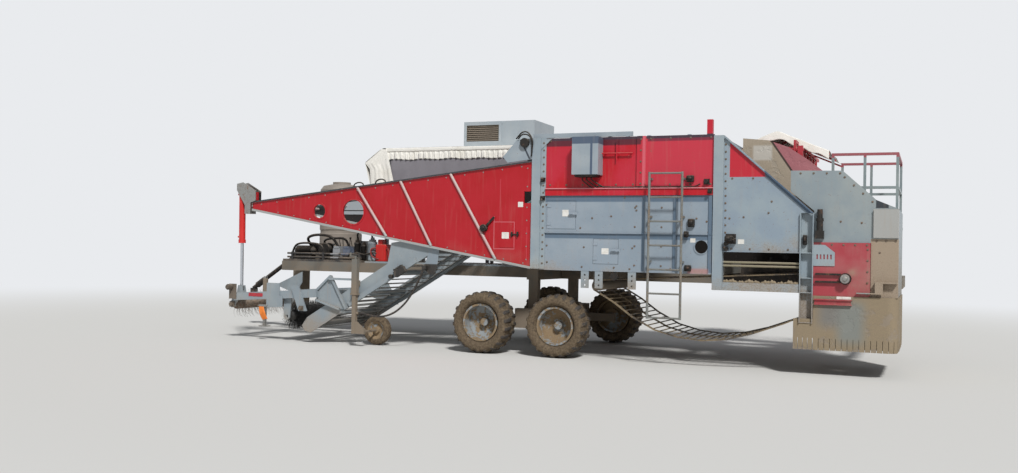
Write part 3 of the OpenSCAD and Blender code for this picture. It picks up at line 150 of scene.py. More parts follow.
def finish_shader(tree, colour, rough, bump_from, bump_mm, metal=0.0, specular=0.5, coat=0.0,
                  sheen=0.0, strength=1.0):
    """Principled surface with a bump whose depth is in millimetres."""
    bump = add(tree, "Bump", {"Height": bump_from, "Strength": strength,
                              "Distance": bump_mm / 1000})
    shader = add(tree, "BsdfPrincipled", {
        "Base Color": colour, "Roughness": rough, "Metallic": metal, "Specular IOR Level": specular,
        "Coat Weight": coat, "Sheen Weight": sheen, "Normal": bump.outputs[0]})
    add(tree, "OutputMaterial", {"Surface": shader.outputs[0]})


def region(tree, place, edges, soft):
    """1 where a place is past every edge; an edge is a direction and a distance along it."""
    share = None
    for axis, level in edges:
        step = ramp(tree, along(tree, place, axis), level - soft, level + soft)
        share = step if share is None else maths(tree, "MULTIPLY", share, step)
    return share


def marked(tree, place, base, marks):
    """The base colour with marks on it: each has a colour, its edges and their softness, such as
    a painted shadow under a ledge."""
    for colour, edges, soft in marks:
        base = mix(tree, region(tree, place, edges, soft), base, colour)
    return base


LEFT = ((0, -1, 0), 2.3)  # the edge that keeps a mark on the machine's left side


def between(x0=None, x1=None, z0=None, z1=None, *more):
    """Edges of an upright rectangle, of which a side left at None is open, and any further ones."""
    sides = [((1, 0, 0), x0), ((-1, 0, 0), x1), ((0, 0, 1), z0), ((0, 0, -1), z1)]
    return [(axis, level * sum(axis)) for axis, level in sides if level is not None] + list(more)


def left_side(x0, x1, z0, z1):
    return between(x0, x1, z0, z1, LEFT)


# Kinds of finish

DUST = "#a39483"


def weathered(name, colour, faded, mud, wear=0.5, marks=(), mud_dir=(0, 0, -1), dirt=DUST,
              chip="#8d8a84", rough=0.42):
    """Oil-based enamel on sheet steel, sprayed, then years outdoors: the sun chalks it in
    400 mm patches, rain draws 45 mm streaks down it, stones chip it to steel and rust, and dust
    gathers low down, towards the tail and on what faces up. mud says where the dried mud starts
    and is full, in metres along mud_dir, and how much of the paint it then hides."""
    material, tree, place = new_material(name)
    up = upward(tree)
    patches = grain(tree, place, 400, 4)
    streaks = grain(tree, place, 45, 3, (1, 1, 14))
    fine = grain(tree, place, 14, 5)
    chips = grain(tree, place, 28, 5, rough=0.7)
    base = mix(tree, ramp(tree, patches, 0.35, 0.68), colour, faded)
    base = marked(tree, place, base, marks)
    base = mix(tree, ramp(tree, streaks, 0.52, 0.75, 0.0, 0.28 * wear), base, dirt)
    # stone chips: bare steel with a rusty rim
    base = mix(tree, ramp(tree, chips, 0.67 - 0.03 * wear, 0.70), base, "#7a4a30")
    base = mix(tree, ramp(tree, chips, 0.71 - 0.03 * wear, 0.73), base, chip)
    # dust on faces that look up, dried mud along mud_dir
    dust = maths(tree, "MULTIPLY", ramp(tree, up, 0.25, 0.9),
                 ramp(tree, patches, 0.25, 0.7, 0.35, 0.85))
    blurred = maths(tree, "ADD", along(tree, place, mud_dir),
                    ramp(tree, patches, 0.2, 0.8, -0.25, 0.25))
    blurred = maths(tree, "ADD", blurred, ramp(tree, fine, 0.25, 0.75, -0.12, 0.12))
    mask = maths(tree, "MAXIMUM", dust, ramp(tree, blurred, mud[0], mud[1], 0.0, mud[2]))
    mask = maths(tree, "MULTIPLY", mask, ramp(tree, fine, 0.35, 0.62, 0.82, 1.0))
    base = mix(tree, mask, base, mix(tree, ramp(tree, fine, 0.3, 0.7), dirt, "#8a7a68"))
    uneven = maths(tree, "ADD", mask, ramp(tree, fine, 0.3, 0.7, -0.12, 0.12))
    roughness = ramp(tree, uneven, 0.0, 1.0, rough, 0.95)
    height = maths(tree, "ADD", maths(tree, "MULTIPLY", fine, 0.35),
                   maths(tree, "MULTIPLY", mask, fine))
    finish_shader(tree, base, roughness, height, 1.6, specular=0.4)
    return material


def steel(name, colour, dark_colour, rust_share=0.35, rough=0.38, dust=0.5, metal=0.9):
    """Mild steel, rolled or drawn, worn bright by use: brushed along its length, with brown rust
    in 60 mm patches and dried soil on what faces up."""
    material, tree, place = new_material(name)
    up = upward(tree)
    patches = grain(tree, place, 60, 5, rough=0.65)
    fine = grain(tree, place, 9, 4)
    base = mix(tree, ramp(tree, fine, 0.3, 0.7), colour, dark_colour)
    rust = maths(tree, "MULTIPLY", ramp(tree, patches, 0.62 - 0.25 * rust_share, 0.72), 0.8)
    base = mix(tree, rust, base, "#6e4a34")
    dusty = maths(tree, "MULTIPLY", ramp(tree, up, -0.2, 0.8),
                  ramp(tree, patches, 0.3, 0.6, 0.3, 1.0))
    dusty = maths(tree, "MULTIPLY", dusty, dust)
    base = mix(tree, dusty, base, DUST)
    cover = maths(tree, "MAXIMUM", rust, dusty)
    finish_shader(tree, base, ramp(tree, cover, 0.0, 0.8, rough, 0.9),
                  maths(tree, "ADD", fine, patches), 0.5, ramp(tree, cover, 0.1, 0.6, metal, 0.05))
    return material


def soil_covered(name, colour, second, bare, cover, size_mm, marks=(), dark_below=None):
    """Steel or rubber under a coat of dried soil: the soil lies in crumbs of about size_mm, and
    what is under it shows where it is rubbed off. Below dark_below it turns near-black."""
    material, tree, place = new_material(name)
    crumbs = grain(tree, place, size_mm, 6, rough=0.68)
    patches = grain(tree, place, 260, 3)
    fine = grain(tree, place, 7, 3)
    soil = mix(tree, ramp(tree, fine, 0.3, 0.7), colour, second)
    rub = maths(tree, "ADD", crumbs, ramp(tree, patches, 0.3, 0.7, -0.12, 0.12))
    mask = ramp(tree, rub, 0.62 - 0.3 * cover, 0.72 - 0.3 * cover)
    base = mix(tree, mask, bare, soil)
    if dark_below is not None:
        dark_share = region(tree, place, [((0, 0, -1), -dark_below)], 0.22)
        base = mix(tree, dark_share, base, "#1f1b18")
    base = marked(tree, place, base, marks)
    finish_shader(tree, base, ramp(tree, mask, 0, 1, 0.5, 0.95), maths(tree, "ADD", crumbs, mask),
                  2.5, specular=0.3)
    return material


def plain_plastic(name, colour, second, size_mm, rough, coat=0.0):
    """Moulded or painted small part: an even colour that varies a little, with a fine dust."""
    material, tree, place = new_material(name)
    patches = grain(tree, place, size_mm, 5)
    fine = grain(tree, place, 5, 3)
    base = mix(tree, ramp(tree, patches, 0.35, 0.7), colour, second)
    roughness = ramp(tree, fine, 0.3, 0.7, rough - 0.08, rough + 0.1)
    finish_shader(tree, base, roughness, fine, 0.2, coat=coat)
    return material


def tyre_rubber():
    """Vulcanised rubber, moulded, caked in mud: worn gray-black on the lugs' tops, brown
    mud in the grooves and on the walls. The lug attribute is 1 on a lug's top."""
    material, tree, place = new_material("caked_tyre_rubber")
    lug = add(tree, "Attribute", attribute_name="lug").outputs["Fac"]
    crumbs = grain(tree, place, 30, 6, rough=0.7)
    patches = grain(tree, place, 180, 3)
    fine = grain(tree, place, 6, 3)
    soil = mix(tree, ramp(tree, crumbs, 0.35, 0.65), "#524639", "#766753")
    clean = maths(tree, "MULTIPLY", lug, ramp(tree, patches, 0.3, 0.6, 0.35, 0.95))
    worn = maths(tree, "SUBTRACT", clean, ramp(tree, crumbs, 0.45, 0.7))
    base = mix(tree, ramp(tree, worn, 0.0, 0.5), soil, "#474340")
    height = maths(tree, "ADD", crumbs, maths(tree, "MULTIPLY", fine, 0.3))
    finish_shader(tree, base, 0.92, height, 5.0, specular=0.25)
    return material


def cloth(name, colour, shade):
    """Coated woven polyester: threads 1.2 mm apart in real life, drawn 6 mm apart so that they
    show, with water stains in 300 mm patches. The pattern follows the piece's own UV map, which
    is in metres; a wave of scale 0.3142 repeats once in a metre."""
    material, tree, place = new_material(name)
    weave_place = add(tree, "UVMap").outputs[0]
    warp, weft = (add(tree, "TexWave", {"Vector": weave_place, "Scale": 0.3142 / 0.006},
                      bands_direction=way).outputs["Fac"] for way in "XY")
    weave = maths(tree, "ADD", warp, weft)
    stains = grain(tree, place, 300, 4)
    fine = grain(tree, place, 20, 4)
    base = mix(tree, ramp(tree, stains, 0.45, 0.75, 0.0, 0.55), colour, shade)
    base = mix(tree, ramp(tree, fine, 0.55, 0.75, 0.0, 0.25), base, "#8d8374")
    finish_shader(tree, base, 0.85, weave, 0.6, specular=0.2, sheen=0.15, strength=0.5)
    return material


# Finishes of the frame's nodes, with the marks that each sheet has


def cover(material, *node_names):
    """Gives nodes of the frame a material."""
    for node_name in node_names:
        mesh = NODES[node_name].data
        mesh.materials.clear()
        mesh.materials.append(material)
    return material


# painted shadow: a deeper blue-gray strip under each ledge and lip and beside each rib, where it
# shades the sheet
SHADE_BLUE = "#5f7182"
LEDGE_SHADOW = (SHADE_BLUE, left_side(1.27, 3.92, 2.385, 2.49), 0.01)
RIB_SHADOWS = [(SHADE_BLUE, left_side(x, x + w, 1.37, 2.40), 0.006)
               for x, w in ((2.862, 0.05), (3.325, 0.05), (3.835, 0.09))]
OLD_RED = ("#b08688", left_side(3.55, 3.85, 1.35, 1.425), 0.02)
# the gray sheets carry painted shadows under the ledge and the mid lip and beside the ribs
cover(weathered("gray_enamel", "#8c99a4", "#97a2ab", (-1.55, -1.1, 0.6), 0.4, [
    LEDGE_SHADOW, (SHADE_BLUE, left_side(1.27, 3.92, 1.835, 1.912), 0.01), *RIB_SHADOWS, OLD_RED]),
      "left_gray_panel", "right_wall", "front_wall", "top_cover")
# the doors carry the painted shadow under the ledge
cover(weathered("gray_enamel_doors", "#909da8", "#9aa4ad", (-1.55, -1.1, 0.5), 0.35, [LEDGE_SHADOW]),
      "door_upper", "door_lower")

BOX_MUD = (-1.2, -0.8, 0.3)
BOX_GRAY = cover(weathered("gray_enamel_boxes", "#939ea6", "#a0a9ae", BOX_MUD, 0.4, [
    # painted shadow of the top cover's lip across the box's upper edge
    ("#536072", left_side(1.84, 2.26, 3.235, 3.36), 0.006),
    ("#4f5d70", left_side(2.125, 2.16, 2.78, 3.36), 0.003)]), "control_box")
HEAD_FOLD = [((0.888, 0, 0.46), 2.35), ((-0.888, 0, -0.46), -2.378)]
cover(weathered("head_enamel", "#939ea6", "#a0a9ae", BOX_MUD, 0.4, [
    ("#3d444c", HEAD_FOLD + between(None, None, 3.04, 3.36, LEFT), 0.003)]), "front_head")
cover(weathered("cooler_enamel", "#a3adb3", "#aeb5b9", BOX_MUD, 0.4, [
    ("#6f675c", between(-1.205, -0.555, 3.635, 3.935, ((0, -1, 0), -0.07)), 0.003)]), "cooler_box")

cover(weathered("post_enamel", "#909da5", "#9ca7ab", (-1.5, -0.95, 0.85), 0.5, [
    ("#8d866f", left_side(4.055, 5.105, 1.45, 1.56), 0.004)]), "left_posts", "sorting_deck")
RED_RAILS = ("#a05a60", between(z0=3.16), 0.004)
cover(weathered("rail_enamel", "#828f91", "#929c9b", (-1.5, -0.95, 0.5), 0.6, [RED_RAILS]),
      "rear_platform")
cover(weathered("chassis_enamel", "#5f6a6c", "#6c7473", (-2.1, -0.9, 0.95), 1.0, dirt="#857766"),
      "main_frame", "cross_members", "chamber_frame", "axle_beams", "tongue", "gauge_post")

TAIL_BOX = ("#a7a7a3", left_side(6.05, 6.40, 1.893, 2.29), 0.003)
TAN_CORNER = ("#a08f7b", left_side(6.025, 6.40, 1.05, 1.885), 0.004)
HATCH_GLASS = ("#363b40", left_side(6.085, 6.245, 2.30, 2.415), 0.004)
cover(weathered("hood_enamel", "#8a959a", "#979f9f", (0.85, 2.3, 0.8), 0.5,
                [TAIL_BOX, TAN_CORNER, HATCH_GLASS], mud_dir=(0.45, 0, -0.9)), "rear_hood")
SLOPE_SHADE = ("#4f6276", [((0.889, 0, 1), 6.86), ((1, 0, 0), 4.62), LEFT], 0.012)
RED_CORNER = ("#bd2736", [((1, 0, 0), 4.132), ((0, 0, 1), 2.735), ((-0.75, 0, -1), -6.318),
                          ((-0.889, 0, -1), -6.895), LEFT], 0.003)
cover(weathered("rear_panel_enamel", "#8b99a5", "#95a2a9", (-0.95, -0.35, 0.8), 0.45,
                [RED_CORNER, SLOPE_SHADE], mud_dir=(0.2, 0, -0.98)), "rear_side_panel")
cover(weathered("header_enamel", "#8a949a", "#979fa2", (-0.70, -0.15, 0.8), 0.9),
      "elevator_frame", "header_arms")

# painted shade: the boom's inside, between its near and far webs, is near-black
BOOM_INSIDE_SHADE = ("#1d1a19", [((0, 1, 0), -2.4935), ((0, -1, 0), 0.7765)], 0.0008)
FAR_WEB = ((0, 1, 0), -0.79)  # the boom's far web, seen through the hole in the near one
BEHIND_HOLE = [("#a3a9ad", between(-3.5, -2.7, 2.245, None, FAR_WEB), 0.004),
               ("#2a2826", between(-3.5, -2.7, 2.305, 2.325, FAR_WEB), 0.003)]
# paler lines along the edges of the boom's small hatch and of the sheet above it
HATCH_EDGES = [(tone, left_side(*edge), 0.003) for tone, edges in (
    ("#c55c64", ((0.50, 0.85, 2.066, 2.080), (0.50, 0.85, 1.650, 1.664),
                 (0.496, 0.510, 1.655, 2.16), (0.841, 0.855, 1.655, 2.075))),
    ("#bf3f48", ((0.594, 0.604, 2.08, 2.74), (1.050, 1.062, 1.47, 2.0)))) for edge in edges]
cover(weathered("boom_red_enamel", "#ad111b", "#b31925", (-1.7, -1.0, 0.3), 0.35,
                [BOOM_INSIDE_SHADE, *BEHIND_HOLE, *HATCH_EDGES], chip="#d8cfc6", rough=0.36),
      "boom_panels")
LOW_FLANGE = ("#a3a5a3", [((-0.168, 0, -1), -1.645)], 0.003)
TOP_STRIP = ("#3a3c3f", [((-0.1198, 0, 1), 2.8585)], 0.002)
# the rings' far corner is cut off where it would colour the rib
HOLE_RINGS = [("#b51a24", between(x - r, x + r, z - r, z + r, LEFT,
                                  ((-1, 0, -1), -(x + z + 1.3 * r))), 0.004)
              for x, z, r in ((-2.71, 2.23, 0.15), (-2.05, 2.22, 0.235))]
cover(weathered("boom_edge_enamel", "#c19e9c", "#c4aea9", (-1.5, -1.0, 0.3), 0.6,
                [LOW_FLANGE, TOP_STRIP, *HOLE_RINGS]), "boom_frame")

CHALKED_RED = ("#c33545", left_side(2.905, 3.92, 2.60, 3.36), 0.02)
# painted shadow of the top cover's lip on the sheet below it, near-black at the top and dark red
# lower down
TOP_LIP_SHADOW = [("#5c1f2b", left_side(1.33, 2.84, 3.225, 3.36), 0.012),
                 ("#7a283a", left_side(2.93, 3.92, 3.27, 3.36), 0.010),
                 ("#40303c", left_side(1.33, 3.92, 3.31, 3.36), 0.008)]
CHANNEL_EDGE = ("#d2606c", left_side(2.865, 2.91, 2.60, 3.36), 0.006)
LEDGE_EDGE = ("#d98a90", left_side(1.35, 3.91, 2.577, 2.594), 0.003)
cover(weathered("panel_red_enamel", "#ba1422", "#c0283a", (-1.9, -1.2, 0.3), 0.4,
                [CHALKED_RED, *TOP_LIP_SHADOW, CHANNEL_EDGE, LEDGE_EDGE]), "left_red_panel")
cover(weathered("far_red_enamel", "#b3303a", "#bb4650", (-2.2, -1.2, 0.7), 0.8),
      "right_red_panel", "discharge_stand", "discharge_conveyor")
TAIL_RED = cover(weathered("tail_red_enamel", "#a63f47", "#ab575a", (2.35, 3.5, 0.9), 0.6, [
    ("#a88f7b", left_side(5.76, 5.83, 1.39, 1.46), 0.06)], mud_dir=(0.62, 0, -0.78)),
                 "rear_red_panels")
CYLINDER_RED = cover(weathered("cylinder_red_enamel", "#c4221f", "#cc2e29", (-1.2, -0.6, 0.3), 0.4),
                     "lift_barrel")

NEAR_DECK = ((0, -1, 0), 0.3)  # the power pack's side that looks at the camera
cover(weathered("pack_enamel", "#333334", "#434241", (-1.5, -1.3, 0.5), 0.8, [
    ("#94979a", between(-3.72, -3.54, 1.395, None, NEAR_DECK), 0.003),
    ("#57657a", between(-3.49, -3.32, 1.46, None, NEAR_DECK), 0.003)]), "power_pack")
cover(weathered("header_iron", "#2f2d2b", "#3a3734", (-1.2, -0.6, 0.5), 0.8, [
    ("#87929a", between(-0.73, -0.44, 1.39, None, LEFT), 0.003)]), "header_fittings")

WORN_STEEL = cover(steel("worn_steel", "#a8a8a4", "#8d8c88", dust=0.45),
                   "boom_bracket", "elevator_chain", "sorting_table", "wire_reel", "jack_leg")
cover(steel("chromed_rod", "#c9ccd0", "#b9bcc0", rust_share=0.05, rough=0.18, dust=0.1), "lift_rod")
RUSTY_STEEL = steel("rusty_steel", "#83786b", "#6a6055", rust_share=0.9, rough=0.55, dust=0.7,
                    metal=0.6)
BLACK_IRON = cover(steel("greasy_cast_iron", "#2b2927", "#1f1d1b", rust_share=0.25, rough=0.5,
                         dust=0.3, metal=0.5), "tail_drive", "drive_shaft", "drive_fittings")

cover(soil_covered("soil_on_chain", "#8d7d67", "#75674f", "#57504a", 0.7, 25), "bottom_chain")
cover(soil_covered("soil_on_ladder", "#8f877b", "#77695a", "#7e7f7b", 0.45, 20), "ladder")
RIM_PAINT = cover(soil_covered("soil_on_rims", "#9b8669", "#7f6d57", "#959a9c", 0.74, 70),
                  "rim_front_left", "rim_rear_left", "rim_front_right", "rim_rear_right")
SKIRT = cover(soil_covered("soil_on_skirt", "#98886f", "#8a7c68", "#8f8271", 0.85, 160, [
    ("#7d7a74", left_side(5.37, 5.78, 0.68, 1.02), 0.11),
    ("#83857f", left_side(5.62, 5.95, 0.47, 1.02), 0.10)]), "tail_skirt")
# a faded red band on the dome's rear edge with a dark seam, and a pale scuff
cover(soil_covered("soil_on_chamber", "#b5a794", "#a89b88", "#aca190", 0.9, 200, [
    ("#b27479", [((0.83, 0, 0.56), 5.615)], 0.006),
    ("#4f423d", [((0.83, 0, 0.56), 5.595), ((-0.83, 0, -0.56), -5.625)], 0.005),
    ("#c9c3b8", between(4.17, 4.46, 3.13, 3.36), 0.02)], dark_below=2.2), "chamber_wall")

TYRE = cover(tyre_rubber(), "tyre_front_left", "tyre_rear_left", "tyre_front_right",
             "tyre_rear_right", "gauge_wheel")
cover(plain_plastic("sun_bleached_tank", "#857c73", "#958b80", 350, 0.7), "oil_tank")
BRISTLE = cover(plain_plastic("black_nylon_bristles", "#191817", "#2c2926", 60, 0.6), "sweep_brush")
HOSE = cover(plain_plastic("hose_rubber", "#2a2724", "#4a4038", 60, 0.6), "header_hose")
CANOPY = cover(cloth("canopy_cloth", "#f5f1e8", "#e0dacb"), "canopy_cover", "discharge_tarp")
CURTAIN = cloth("curtain_mesh", "#8b878c", "#7b777c")
RUDDY = plain_plastic("red_oxide_pipes", "#8d2f2a", "#7a3029", 60, 0.5)
ORANGE = plain_plastic("orange_flap", "#ee8533", "#d87427", 70, 0.6)
LABEL = plain_plastic("blank_white_plates", "#e9e7e1", "#d6d2c8", 60, 0.5)
REFLECTOR = plain_plastic("red_reflector", "#b3202c", "#9c1a26", 40, 0.25, coat=0.5)

# Meshes from arrays


def corners(node_name):
    """The low and the high corner of a node's box."""
    return [np.array(corner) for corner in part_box(node_name)]


def together(*parts):
    """Arrays that broadcast to one grid, as the last axis of one array."""
    return np.stack(np.broadcast_arrays(*parts), -1)


def round_steps(count):
    """Angles of a full turn in equal steps."""
    return np.arange(count) * TURN / count


def pinched(value, power):
    """A sine or cosine raised to a power below 1, which squares a circle's corners."""
    return np.sign(value) * np.abs(value) ** power


def smooth_step(value, start, end):
    t = np.clip((value - start) / (end - start), 0, 1)
    return t * t * (3 - 2 * t)


def grid_quads(rows, columns, wrap_rows=False, wrap_columns=False):
    """Faces of a grid of points numbered row by row; a wrapped side joins its last to its first."""
    i = np.arange(rows if wrap_rows else rows - 1)[:, None]
    j = np.arange(columns if wrap_columns else columns - 1)[None, :]
    i2, j2 = (i + 1) % rows, (j + 1) % columns
    quads = [i * columns + j, i * columns + j2, i2 * columns + j2, i2 * columns + j]
    return np.stack(quads, -1).reshape(-1, 4)


def tube_faces(rows, columns):
    """Faces of a grid that is wrapped across, with one face at each end that closes it."""
    first = list(range(columns))
    last = [(rows - 1) * columns + i for i in first]
    return grid_quads(rows, columns, False, True).tolist() + [first[::-1], last]


def surface(name, points, faces, material, body="chassis", smooth=True, uv=None):
    """Makes the mesh of one piece and sets what it rides on."""
    mesh = bpy.data.meshes.new(name)
    faces = faces.tolist() if isinstance(faces, np.ndarray) else faces
    mesh.from_pydata(np.asarray(points, float).reshape(-1, 3).tolist(), [], faces)
    mesh.materials.append(material)
    mesh.polygons.foreach_set("use_smooth", np.full(len(mesh.polygons), smooth))
    if uv is not None:
        order = np.zeros(len(mesh.loops), np.int32)
        mesh.loops.foreach_get("vertex_index", order)
        layer = mesh.uv_layers.new(name="UVMap")
        layer.data.foreach_set("uv", uv.reshape(-1, 2)[order].ravel())
    mesh.update()
    piece = bpy.data.objects.new(name, mesh)
    bpy.context.scene.collection.objects.link(piece)
    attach(piece, body)
    return piece


def solid(name, parts, material, body="chassis", smooth=False, instead_of=None):
    """One piece of several closed meshes, each a pair of points and faces, with all faces turned
    outwards. instead_of is the node that it replaces."""
    points, faces, count = [], [], 0
    for part_points, part_faces in parts:
        part_points = np.asarray(part_points, float).reshape(-1, 3)
        points.append(part_points)
        faces += [[i + count for i in face] for face in part_faces]
        count += len(part_points)
    piece = surface(name, np.concatenate(points), faces, material, body, smooth)
    work = bmesh.new()
    work.from_mesh(piece.data)
    bmesh.ops.recalc_face_normals(work, faces=work.faces)
    work.to_mesh(piece.data)
    work.free()
    if instead_of:
        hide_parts(instead_of)
    return piece


def cloth_piece(name, points, uv, slot, material, thick, body="chassis", offset=-1.0, flip=False,
                **said):
    """A sheet from a grid of points, with its own UV map in metres and a thickness."""
    faces = grid_quads(*points.shape[:2])
    piece = surface(name, points, faces[:, ::-1] if flip else faces, material, body, uv=uv)
    wall = piece.modifiers.new("thickness", "SOLIDIFY")
    wall.thickness = thick
    wall.offset = offset
    return piece


BLOCK_ROWS, BLOCK_COLUMNS = 12, 20
POLE = 0.02  # how far, in radians, a block's poles stay open


def rounded_block(lo, hi, edge):
    """A superellipsoid: each coordinate is half the block's side times a product of sines and
    cosines raised to the power edge, which gives flat faces and rounded edges. Both poles are
    one small face."""
    lo, hi = np.array(lo, float), np.array(hi, float)
    u = (np.linspace(0, TURN, BLOCK_COLUMNS, endpoint=False) + math.pi / BLOCK_COLUMNS)[None, :]
    v = np.linspace(-math.pi / 2 + POLE, math.pi / 2 - POLE, BLOCK_ROWS)[:, None]
    ring = pinched(np.cos(v), edge)
    shape = together(ring * pinched(np.cos(u), edge), ring * pinched(np.sin(u), edge),
                     pinched(np.sin(v), edge))
    return (lo + hi) / 2 + shape * (hi - lo) / 2, tube_faces(BLOCK_ROWS, BLOCK_COLUMNS)


def about_axle(centre, radius, across, turn):
    """Points at a radius and an angle round an axle through the centre, and a place across."""
    return together(centre[0] + radius * np.cos(turn), centre[1] + across,
                    centre[2] + radius * np.sin(turn))


def smooth_path(points, steps):
    """A curve through the points: between two of them it is the cubic whose slope at each end is
    half the step between that point's neighbours."""
    p = np.array(points, float)
    p = np.concatenate([[2 * p[0] - p[1]], p, [2 * p[-1] - p[-2]]])
    t = np.linspace(0, 1, steps, endpoint=False)[None, :, None]
    a, b, c, d = (p[i:len(p) - 3 + i][:, None] for i in range(4))
    curve = 0.5 * (2 * b + (c - a) * t + (2 * a - 5 * b + 4 * c - d) * t ** 2
                   + (3 * b - a - 3 * c + d) * t ** 3)
    return np.concatenate([curve.reshape(-1, 3), p[-2:-1]])


def tube(path, radius, sides=10):
    """A circle carried along a path and set square to it at each point. Its first direction is
    the normal of the plane that fits the path best, less what lies along the path there."""
    path = np.array(path, float)
    ahead = np.gradient(path, axis=0)
    ahead /= np.linalg.norm(ahead, axis=1)[:, None]
    flat = np.linalg.svd(path - path.mean(0))[2][2]
    first = flat - ahead * (ahead @ flat)[:, None]
    first /= np.linalg.norm(first, axis=1)[:, None]
    second = np.cross(ahead, first)
    turn = round_steps(sides)[:, None]
    outwards = first[:, None] * np.cos(turn) + second[:, None] * np.sin(turn)
    return path[:, None] + radius * outwards, tube_faces(len(path), sides)


def pipe(points, radius, steps=7):
    """A tube on the smooth path through the points."""
    return tube(smooth_path(points, steps), radius)


def turned(profile, centre, axis, sides):
    """A profile of (distance along the axis, radius) turned round the axis x, y or z."""
    profile = np.array(profile, float)
    turn = round_steps(sides)
    along_axis, radius = profile[:, :1], profile[:, 1:]
    one, two = radius * np.cos(turn), radius * np.sin(turn)
    order = {"x": (along_axis, one, two), "y": (two, along_axis, one), "z": (one, two, along_axis)}
    return together(*order[axis]) + np.array(centre, float), tube_faces(len(profile), sides)


# The header's hydraulic hose, on the route that its CAD tube holds

HOSE_ROUTE = [(x, -2.56, z) for x, z in (
    (-1.88, 0.552), (-1.81, 0.552), (-1.735, 0.540), (-1.66, 0.527), (-1.58, 0.518), (-1.50, 0.516),
    (-1.42, 0.522), (-1.34, 0.540), (-1.26, 0.570), (-1.18, 0.614), (-1.105, 0.670), (-1.03, 0.740),
    (-0.962, 0.820), (-0.90, 0.908), (-0.845, 1.00), (-0.795, 1.095), (-0.75, 1.19),
    (-0.71, 1.285))]


def header_hose():
    """A rubber hose of 32 mm between its two fittings."""
    path = smooth_path(HOSE_ROUTE, 6)
    piece = solid("header_hose_rubber", [tube(path, 0.016, 14)], HOSE, "header",
                  True, "header_hose")


header_hose()

# Tyres

TYRE_R = 0.49
TYRE_W = 0.45
BEAD_R = 0.281
LUG_H = 0.022
LUGS = 22
CROWN = (0.415, 0.445)  # the lugs rise between these distances from the axle
WALL_RINGS = (0.31, 0.41)  # and the walls have rings between these, at a pitch
RING_PITCH = 0.028
ROUND_STEPS = LUGS * 16
ACROSS_STEPS = 72


def tyre(name, node_name, body):
    """A tyre as one closed grid. Round the section, the distance from the axle and the place
    across are a superellipse, pulled in at the bead, with rings moulded on its walls. A lug is a
    bar of 46 mm, alternately left and right of the middle line, that rises by the lug height
    along the section's outward line."""
    centre = sum(corners(node_name)) / 2
    turn = round_steps(ROUND_STEPS)[:, None]
    section = round_steps(ACROSS_STEPS)[None, :]
    middle_r = (TYRE_R - LUG_H + BEAD_R) / 2
    reach = (TYRE_R - LUG_H - BEAD_R) / 2
    radius = middle_r + reach * pinched(np.cos(section), 0.55)
    across = 0.5 * TYRE_W * pinched(np.sin(section), 0.62)
    across = across * (0.66 + 0.34 * smooth_step(radius, BEAD_R, BEAD_R + 0.075))
    share = across / (0.5 * TYRE_W)
    phase = turn * LUGS / TURN + 0.5 * (share > 0) + 0.22 * np.abs(share)
    lug = 1 - smooth_step(np.abs((phase % 1.0) - 0.5), 0.17, 0.235)
    lug = lug * smooth_step(np.abs(share), 0.02, 0.07) * smooth_step(radius, *CROWN)
    on_wall = (radius > WALL_RINGS[0]) * (radius < WALL_RINGS[1])
    ring = 0.004 * (np.cos((radius - 0.36) * TURN / RING_PITCH) > 0.55) * on_wall
    radius = radius + lug * LUG_H * 0.98
    across = across + np.sign(across) * ring
    faces = grid_quads(ROUND_STEPS, ACROSS_STEPS, True, True)[:, ::-1]
    piece = surface(name, about_axle(centre, radius, across, turn), faces, TYRE, body)
    attribute = piece.data.attributes.new("lug", "FLOAT", "POINT")
    attribute.data.foreach_set("value", lug.astype(np.float32).ravel())
    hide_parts(node_name)


for place in ("front_left", "rear_left", "front_right", "rear_right"):
    tyre("tread_" + place, "tyre_" + place, "wheel_" + place)

# Brush bristles and reel wires


def prongs(name, node_name, body, material, rows, per_row, root_r, tip_r, thick, bend, seed,
           core_r):
    """Bent wires on a drum, from root_r to about tip_r. Along each wire the distance from the
    axle grows evenly and its angle and place lag with the square of that distance; each is a
    tapering tube of 3 sides. The drum is a closed cylinder with flat ends."""
    random = np.random.default_rng(seed)
    lo, hi = corners(node_name)
    centre = (lo + hi) / 2
    y0, y1 = lo[1] + 0.16, hi[1] - 0.16
    count = rows * per_row
    k = np.arange(count)
    start_y = y0 + (y1 - y0) * (k // per_row + 0.5 + random.uniform(-0.35, 0.35, count)) / rows
    start_a = ((k % per_row) * TURN / per_row + random.uniform(-0.16, 0.16, count)
               + (k // per_row) * 0.4)
    lag = bend * random.uniform(0.6, 1.3, count)
    drift = random.uniform(-0.03, 0.03, count)
    reach = tip_r - random.uniform(0.0, 0.03, count)
    t = np.linspace(0, 1, 5)
    radius = (root_r + (reach[:, None] - root_r) * t)[:, :, None]
    angle = start_a[:, None] + lag[:, None] * t ** 2
    y = start_y[:, None] + drift[:, None] * t ** 2
    side = round_steps(3)
    width = (thick * (1 - 0.55 * t))[None, :, None]
    a = angle[:, :, None] + width * np.cos(side) / radius
    wires = together(centre[0] + radius * np.cos(a), y[:, :, None] + width * np.sin(side),
                     centre[2] + radius * np.sin(a))
    one = grid_quads(5, 3, False, True).tolist() + [[0, 2, 1], [12, 13, 14]]
    faces = [[i + 15 * wire for i in face] for wire in range(count) for face in one]
    profile = ((y0 - 0.05, 0.0), (y0 - 0.05, core_r), (y1 + 0.05, core_r), (y1 + 0.05, 0.0))
    drum = [[[centre[0] + r * math.cos(b), end, centre[2] + r * math.sin(b)]
             for b in round_steps(40)] for end, r in profile]
    solid(name, [(wires, faces), (drum, grid_quads(4, 40, False, True))], material, body,
          True, node_name)


prongs("reel_wires", "wire_reel", "reel", RUSTY_STEEL, rows=26, per_row=11,
       root_r=0.085, tip_r=0.252, thick=0.0032, bend=0.5, seed=3, core_r=0.09)
prongs("brush_bristles", "sweep_brush", "brush", BRISTLE, rows=60, per_row=60,
       root_r=0.075, tip_r=0.25, thick=0.0024, bend=0.16, seed=5, core_r=0.08)

# Canopy of the sorting deck

